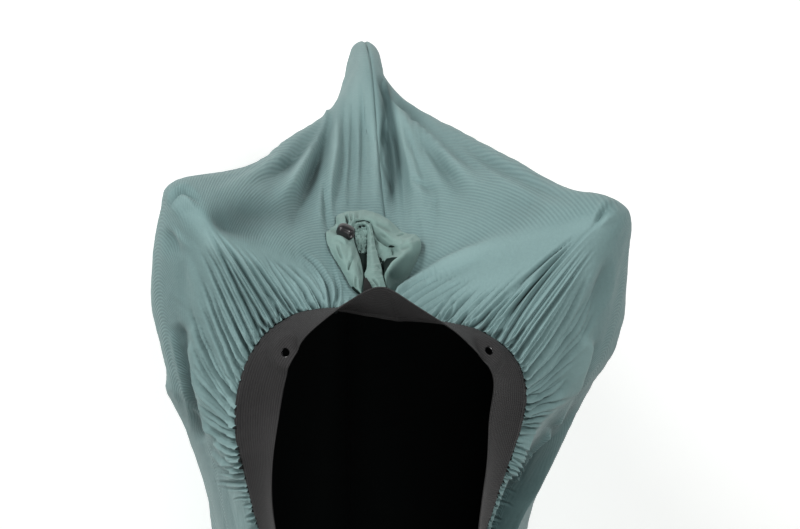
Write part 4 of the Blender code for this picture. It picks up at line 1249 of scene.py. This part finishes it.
def stitchTree():
    tree = bpy.data.node_groups.new("stitches", "GeometryNodeTree")
    for label, kind in (("Run", "Geometry"), ("Pitch", "Float"), ("Length", "Float"), ("Thickness", "Float"),
                        ("Thread", "Material")):
        tree.interface.new_socket(label, in_out="INPUT", socket_type="NodeSocket" + kind)
    tree.interface.new_socket("Stitches", in_out="OUTPUT", socket_type="NodeSocketGeometry")

    def add(kind, settings=None, **links):
        made = tree.nodes.new(kind)
        for key, item in (settings or {}).items():
            setattr(made, key, item)
        for label, item in links.items():
            if isinstance(item, bpy.types.NodeSocket):
                tree.links.new(item, made.inputs[label])
            else:
                made.inputs[label].default_value = item
        return made.outputs

    given = add("NodeGroupInput")
    curve = add("GeometryNodeMeshToCurve", Mesh=given["Run"])
    even = add("GeometryNodeResampleCurve", {"mode": "LENGTH"}, Curve=curve[0], Length=given["Pitch"])
    stitch = add("GeometryNodeMeshUVSphere", Segments=6, Rings=5, Radius=0.5)
    size = add("ShaderNodeCombineXYZ", X=given["Length"], Y=given["Thickness"], Z=given["Thickness"])
    tangent = add("GeometryNodeInputTangent")
    turn = add("FunctionNodeAlignRotationToVector", {"axis": "X"}, Vector=tangent[0])
    placed = add("GeometryNodeInstanceOnPoints", Points=even[0], Instance=stitch[0], Rotation=turn[0],
                 Scale=size[0])
    real = add("GeometryNodeRealizeInstances", Geometry=placed[0])
    smooth = add("GeometryNodeSetShadeSmooth", Geometry=real[0])
    coloured = add("GeometryNodeSetMaterial", Geometry=smooth[0], Material=given["Thread"])
    add("NodeGroupOutput", Stitches=coloured[0])
    return tree


def makeStitches(sewn, free):
    # round the sewn edge of the elastic, on both of its faces
    p, n = bandSurface(sewn, free, [thread["row"]])
    off = n[:, 0] * (band["thick"] / 2 + thread["thick"] / 2 - thread["sunk"])
    count = len(p)
    edges = [(face + i, face + (i + 1) % count) for face in (0, count) for i in range(count)]
    mesh = bpy.data.meshes.new("elastic_stitches")
    mesh.from_pydata(np.concatenate([p[:, 0] - off, p[:, 0] + off]).tolist(), edges, [])
    piece = addObject("elastic_stitches", mesh)
    rows = piece.modifiers.new("stitches", "NODES")
    rows.node_group = stitchTree()
    settings = {"Pitch": thread["pitch"], "Length": thread["length"], "Thickness": thread["thick"],
                "Thread": blackThread}
    for item in rows.node_group.interface.items_tree:
        if item.name in settings:
            rows[item.identifier] = settings[item.name]
    bakeModifiers(piece)
    finishPiece(piece, "elastic_band")


# storage pouch in front of the opening

# Drawn as it shows in the view, thirteen steps to a pixel: each point is x, y and its height over
# the knit in millimetres. The body runs from its left foot over the top to its right foot
pouchBody = [
    # inner edge        hem               ridge             shoulder          outer edge
    [(500, 1290, 1), (492, 1290, 3), (480, 1290, 5), (468, 1290, 4), (455, 1295, 0)],
    [(505, 1160, 3), (490, 1165, 8), (450, 1175, 13), (395, 1185, 10), (345, 1200, 0)],
    [(498, 1020, 5), (470, 1025, 12), (415, 1030, 17), (340, 1045, 12), (262, 1060, 0)],
    [(470, 880, 6), (440, 885, 14), (370, 880, 19), (270, 900, 13), (180, 915, 0)],
    [(428, 745, 7), (395, 745, 14), (315, 730, 19), (190, 745, 13), (92, 770, 0)],
    [(388, 620, 9), (350, 610, 15), (265, 600, 18), (130, 610, 12), (30, 625, 0)],
    [(378, 560, 11), (340, 540, 15), (250, 510, 15), (130, 500, 9), (15, 490, 1)],
    [(375, 500, 11), (330, 470, 11), (240, 440, 8), (150, 450, 4), (60, 440, 1)],
    [(372, 430, 13), (335, 400, 17), (270, 370, 16), (200, 370, 11), (140, 370, 2)],
    [(390, 380, 14), (360, 350, 18), (310, 300, 17), (230, 280, 12), (155, 262, 2)],
    [(430, 352, 13), (410, 325, 19), (375, 280, 19), (335, 240, 12), (295, 212, 2)],
    [(500, 345, 12), (505, 320, 19), (510, 280, 20), (515, 235, 14), (515, 200, 3)],
    [(570, 365, 11), (590, 345, 18), (630, 310, 22), (670, 280, 16), (705, 240, 3)],
    [(605, 430, 9), (640, 415, 16), (720, 390, 23), (800, 365, 17), (860, 350, 3)],
    [(625, 520, 6), (680, 510, 13), (780, 490, 22), (880, 460, 18), (960, 438, 4)],
    [(650, 600, 4), (745, 580, 11), (860, 560, 20), (955, 530, 15), (1050, 500, 5)],
    [(665, 680, 3), (800, 655, 9), (930, 640, 22), (1070, 600, 27), (1180, 525, 8)],
    [(690, 760, 3), (850, 690, 8), (980, 700, 25), (1120, 640, 32), (1250, 600, 10)],
    [(715, 830, 2), (875, 760, 7), (1000, 775, 33), (1150, 770, 22), (1245, 740, 1)],
    [(735, 900, 2), (760, 905, 3), (905, 860, 31), (1040, 960, 14), (1150, 950, 0)],
    [(748, 960, 2), (760, 965, 3), (825, 960, 28), (950, 1070, 10), (1060, 1110, 0)],
    [(757, 1030, 2), (765, 1030, 4), (782, 1050, 15), (870, 1160, 10), (965, 1215, 0)],
    [(775, 1120, 1), (785, 1120, 3), (795, 1150, 8), (835, 1230, 5), (880, 1280, 0)],
]
pouchFrill = [
    # beside the lock                                      under the casing
    [(400, 440, 8), (440, 430, 9), (480, 425, 9), (535, 440, 8)],
    [(395, 500, 7), (440, 490, 9), (490, 480, 8), (552, 500, 7)],
    [(395, 560, 6), (440, 555, 8), (490, 545, 8), (556, 560, 7)],
    [(405, 620, 5), (445, 620, 7), (495, 620, 7), (556, 630, 6)],
    [(425, 690, 4), (455, 690, 5), (500, 690, 6), (556, 700, 5)],
    [(440, 750, 2), (470, 755, 2), (505, 755, 3), (552, 750, 3)],
]
pouchInner = [
    # beside the left leg    middle            under the right leg
    [(385, 470, 1), (500, 470, 1), (640, 470, 1)], [(395, 600, 1), (540, 600, 1), (700, 600, 1)],
    [(430, 720, 1), (640, 720, 1), (880, 720, 1)], [(465, 850, 1), (670, 850, 1), (900, 850, 1)],
    [(490, 980, 1), (640, 980, 1), (810, 980, 1)], [(500, 1100, 1), (640, 1100, 1), (785, 1100, 1)],
    [(505, 1190, 1), (640, 1190, 1), (790, 1180, 1)],
]
casingRows = [
    # left edge         crown             right edge
    [(405, 480, 10), (385, 440, 14), (368, 400, 13)], [(435, 410, 11), (410, 385, 16), (392, 350, 14)],
    [(495, 398, 11), (488, 370, 16), (480, 338, 14)], [(540, 430, 11), (560, 395, 17), (575, 350, 15)],
    [(553, 500, 11), (590, 470, 17), (618, 430, 14)], [(552, 600, 11), (600, 580, 17), (640, 550, 14)],
    [(550, 720, 11), (610, 710, 17), (668, 690, 14)], [(548, 850, 10), (620, 840, 17), (705, 830, 13)],
    [(543, 960, 9), (640, 950, 16), (738, 940, 12)], [(515, 1045, 7), (640, 1040, 14), (757, 1040, 11)],
    [(570, 1140, 5), (670, 1130, 11), (772, 1120, 9)], [(625, 1215, 3), (710, 1210, 7), (800, 1200, 5)],
]
tabRows = [
    # left edge         right edge, from under the fold over its top to the elastic
    [(512, 1190, 3), (575, 1170, 3)], [(508, 1120, 3), (556, 1115, 3)], [(510, 1088, 6), (542, 1085, 6)],
    [(506, 1110, 10), (556, 1108, 10)], [(503, 1160, 12), (582, 1150, 12)],
    [(500, 1220, 12), (608, 1205, 12)], [(494, 1275, 10), (622, 1258, 9)], [(492, 1300, 8), (628, 1290, 7)],
]
pouchCreases = [
    # x0, y0, x1, y1, x2, y2, height, left, right in the same steps
    (930, 548, 980, 525, 1050, 510, -2.6, 11, 11), (305, 1000, 330, 880, 390, 795, -3.4, 13, 13),
    (262, 240, 288, 310, 292, 380, -5.0, 15, 13), (165, 620, 182, 730, 240, 860, -2.4, 16, 18),
    (645, 500, 730, 600, 865, 684, -3.4, 16, 18), (862, 684, 890, 735, 880, 790, -3.0, 10, 12),
    (620, 1080, 660, 1130, 705, 1195, -3.6, 13, 16), (690, 925, 712, 950, 735, 960, -2.0, 8, 8),
    (340, 660, 350, 760, 330, 900, 1.8, 22, 26), (420, 1050, 400, 1120, 420, 1220, -2.4, 18, 14),
    (560, 230, 700, 300, 880, 400, 1.6, 26, 40), (640, 330, 760, 420, 900, 500, -1.8, 30, 30),
    (1000, 620, 1090, 600, 1170, 570, 2.0, 24, 20), (960, 700, 1040, 690, 1130, 640, -1.6, 22, 22),
    (330, 230, 345, 290, 340, 350, -1.6, 14, 20), (420, 210, 430, 260, 425, 320, -1.2, 18, 20),
    (430, 900, 462, 980, 480, 1060, -2.0, 9, 12), (120, 540, 200, 560, 300, 640, 2.0, 24, 20),
]
pouch = {
    "corner": (325, 195), "scale": 13.07, "lift": 0.005, "thick": 0.0010, "up": (0, 0.70, 0.71),
    "body": (230, 56), "frill": (60, 50), "inner": (30, 24), "casing": (170, 16),
    # seed, count along, count across and height
    "wrinkles": ((11, 26, 2, 0.00091), (12, 48, 5, 0.00056), (13, 110, 14, 0.000245)),
    "ruffles": ((14, 20, 3, 0.0026), (15, 34, 9, 0.0016)),
    "gathers": ((16, 40, 1, 0.0007), (17, 80, 4, 0.0004)),
    "deepest": 0.0045,                     # depth of a crease in full shade
    # shade below the long fold and the dark hollow: from row, fade, from column, fade
    "shade": (17.0, 1.4, 1.98, 0.5), "halfUntil": (18.0, 2.5), "darkFrom": 18.35, "darkAcross": (0.75, 1.85),
    # part of the knit that it lies on: middle x and half its width, and from y to y
    "under": (-0.015, 0.060, 0.055, 0.19), "underCells": (24, 40), "underReach": (0.12, 0.3),
    "flat": (0.062, 0.25), "casingFlat": (0.013, 0.13),
}


def groundUnder(net):
    rows = [np.linspace(0, reach, n) for reach, n in zip(pouch["underReach"], pouch["underCells"])]
    s, t = np.meshgrid(*rows, indexing="ij")
    q = np.concatenate([readNet(net, k, s, t).reshape(-1, 3) for k in range(2)])
    middle, half, low, high = pouch["under"]
    q = q[(np.abs(q[:, 0] - middle) < half) & (q[:, 1] > low) & (q[:, 1] < high)]

    def terms(x, y):
        return np.stack([1 + 0 * x, x, y, x * x, x * y, y * y, x ** 3, x * x * y, x * y * y, y ** 3, x ** 4,
                         x ** 3 * y, x * x * y * y], -1)
    c = np.linalg.lstsq(terms(q[:, 0], q[:, 1]), q[:, 2], rcond=None)[0]
    return lambda x, y: terms(x, y) @ c


def overKnit(net, rows):
    # places a table of x, y, height in the view over the knit
    ground = groundUnder(net)
    rows = np.array(rows, float)
    x, y = np.moveaxis(np.array(pouch["corner"]) + rows[..., :2] / pouch["scale"], -1, 0)[..., None]
    right, up, back = (np.array(q) for q in lookAxes())
    width, height = studio["imageSize"]
    eye = eyePlace(right, up, back)
    aim = ((x - width / 2) * right - (y - height / 2) * up) / studio["focalPixels"] - back
    z = np.zeros(rows.shape[:-1])
    for _ in range(20):
        p = eye + aim * ((z - eye[2]) / aim[..., 2])[..., None]
        z = ground(p[..., 0], p[..., 1]) + pouch["lift"] + 0.001 * rows[..., 2]
    return p


def smoothSheet(points, cols, rows):
    # fine grid through the points of a table
    ns, nt = points.shape[:2]
    along = catmull(points.reshape(ns, -1), np.linspace(0, ns - 1, cols)).reshape(cols, nt, 3)
    across = catmull(along.transpose(1, 0, 2).reshape(nt, -1), np.linspace(0, nt - 1, rows))
    return across.reshape(rows, cols, 3).transpose(1, 0, 2)


def clothPatch(name, net, rows, cells, materials, wrinkles=(), shade=None):
    # one closed piece of cloth from a table
    p = smoothSheet(overKnit(net, rows), *cells)
    up = np.array(pouch["up"])
    s, t = np.meshgrid(np.linspace(0, 1, cells[0]), np.linspace(0, 1, cells[1]), indexing="ij")
    h = np.zeros(s.shape)
    addFolds(h, (inView(p)[0] - pouch["corner"]) * pouch["scale"], pouchCreases, 0.25, 0.3, 0)
    # painted shade in the creases, and on the side turned from the light where a shade is given
    paintedShading = -h / pouch["deepest"] + (shade(s, t) if shade else 0)
    for seed, along, across, height in wrinkles:
        h += height * latticeNoise(np.random.default_rng(seed), s, t, along, across)
    p = p + up * h[..., None]
    piece = shellPiece(name, p, p - up * pouch["thick"], materials, *arcLengths(p))
    paint(piece.data, "paintedShading", np.tile(np.clip(paintedShading, -1, 1).ravel(), 2))
    return piece


def awayFromLight(s, t):
    # the side of the pouch below its long fold lies in the shade
    row, column = s * (len(pouchBody) - 1), t * (len(pouchBody[0]) - 1)
    fade = fadeIn(row, *pouch["shade"][:2]) * fadeIn(column, *pouch["shade"][2:])
    return fade * (0.5 + 0.5 * fadeIn(row, *pouch["halfUntil"]))


def joinPieces(first, *others):
    paintedShading = []
    bm = bmesh.new()
    for piece in (first, *others):
        bm.from_mesh(piece.data)
        part = np.zeros(len(piece.data.vertices), np.float32)
        piece.data.attributes["paintedShading"].data.foreach_get("value", part)
        paintedShading.append(part)
    bm.to_mesh(first.data)
    bm.free()
    first.data.attributes["paintedShading"].data.foreach_set("value", np.concatenate(paintedShading))
    for piece in others:
        bpy.data.objects.remove(piece, do_unlink=True)
    return first


def makePouch(net):
    both = [pouchCloth, pouchInsideShaded]
    body = clothPatch("pouch_cloth", net, pouchBody, pouch["body"], both, pouch["wrinkles"], awayFromLight)
    # the hollow behind the right leg takes the darkened inside cloth, as painted shade
    sizes = zip(pouch["body"], (len(pouchBody), len(pouchBody[0])))
    row, column = (np.arange(n - 1) / (n - 1) * (count - 1) for n, count in sizes)
    low, high = pouch["darkAcross"]
    dark = (row[:, None] > pouch["darkFrom"]) & (column > low) & (column < high)
    which = np.zeros(len(body.data.polygons), np.int32)
    body.data.polygons.foreach_get("material_index", which)
    which[:dark.size] = dark.ravel()
    body.data.polygons.foreach_set("material_index", which)
    frill = clothPatch("frill", net, pouchFrill, pouch["frill"], both, pouch["ruffles"])
    # the inside of the pouch seen through its mouth takes the darkened inside cloth all over, as painted
    # shade
    inner = clothPatch("inner", net, pouchInner, pouch["inner"], both)
    takeSecond(inner.data, 0)
    piece = joinPieces(body, frill, inner)
    finishPiece(piece, "pouch")
    # casing of the draw cord along the mouth
    cells, gathered = pouch["casing"], pouch["gathers"]
    casing = clothPatch("pouch_casing_cloth", net, casingRows, cells, [pouchCloth], gathered)
    finishPiece(casing, "pouch_casing")


lock = {
    "place": (272, 478, 23), "turn": (-50, 0, -24), "size": (0.0098, 0.0080, 0.0072), "square": 0.72,
    "cells": (56, 36), "buttonCells": 36,
    "buttonPlace": (330, 515, 25), "buttonTurn": (12, 18, -24), "button": (0.0038, 0.0038, 0.0050),
    # outline of the button and its dished end, as shares of its width and height
    "outline": ((0, 0.80), (0.45, 0.82), (0.62, 0.94), (0.80, 1.0), (0.95, 0.93), (1.0, 0.75), (1.0, -0.9),
                (0, -0.9)),
}


def setDown(net, place, turn):
    x, y, z = (Matrix.Rotation(radians(a), 4, axis) for a, axis in zip(turn, "XYZ"))
    return Matrix.Translation(Vector(overKnit(net, place))) @ z @ y @ x


def makeLock(net):
    bm = bmesh.new()
    across, down = lock["cells"]
    arc = [pi * i / down for i in range(1, down)]
    joinLoops(bm, turnedLoops(bm, [(0, 1), *((sin(a), cos(a)) for a in arc), (0, -1)], across))
    for vert in bm.verts:
        for m in range(3):
            vert.co[m] = np.sign(vert.co[m]) * abs(vert.co[m]) ** lock["square"] * lock["size"][m]
    bm.transform(setDown(net, lock["place"], lock["turn"]))
    loops = turnedLoops(bm, lock["outline"], lock["buttonCells"])
    joinLoops(bm, loops)
    button = setDown(net, lock["buttonPlace"], lock["buttonTurn"]) @ Matrix.Diagonal((*lock["button"], 1))
    bmesh.ops.transform(bm, matrix=button, verts=sum(loops, []))
    finishPiece(fromWork("cord_lock_body", bm, blackPlastic), "cord_lock")


tab = {"cells": (60, 16), "thick": 0.001}


def makeTab(net):
    # short folded piece of webbing, its ends under the elastic
    p = smoothSheet(overKnit(net, tabRows), *tab["cells"])
    half = np.cross(np.gradient(p, axis=0), np.gradient(p, axis=1))
    half *= tab["thick"] / 2 / np.linalg.norm(half, axis=-1, keepdims=True)
    piece = shellPiece("pouch_tab_weave", p + half, p - half, [blackWebbing], *arcLengths(p))
    finishPiece(piece, "pouch_tab")


# the scene, piece by piece

makeCamera()
makeFloor()
makeWorld()
makeLamps()
print("camera, floor and light done")

knit, knitInsideShaded, elastic = knitFinish(), insideFinish(), elasticFinish()
blackMetal, blackPlastic, blackWebbing = metalFinish(), plasticFinish(), webbingFinish()
blackThread = threadFinish()
pouchCloth = pouchFinish("pouch_cloth", 1, pouchLook["sheen"])
pouchInsideShaded = pouchFinish("pouch_inside_shaded", pouchLook["insideShadeShare"], 0)
net = stretchedNet()
print("net done")
makePanel(net, 0, "panel_left")
makePanel(net, 1, "panel_right")
print("knit panels done")
sewn, free = bandEdges(net)
fineSewn, fineFree = sewnLoop(net, band["knots"] * band["fineCols"]), roundLoop(free, band["fineCols"])
makeBand(sewn, free, fineSewn, fineFree)
makeEyelet(sewn, free, "right")
makeEyelet(sewn, free, "left")
makeStitches(fineSewn, fineFree)
print("elastic, eyelets and stitches done")
makePouch(net)
makeLock(net)
makeTab(net)
print("pouch done")
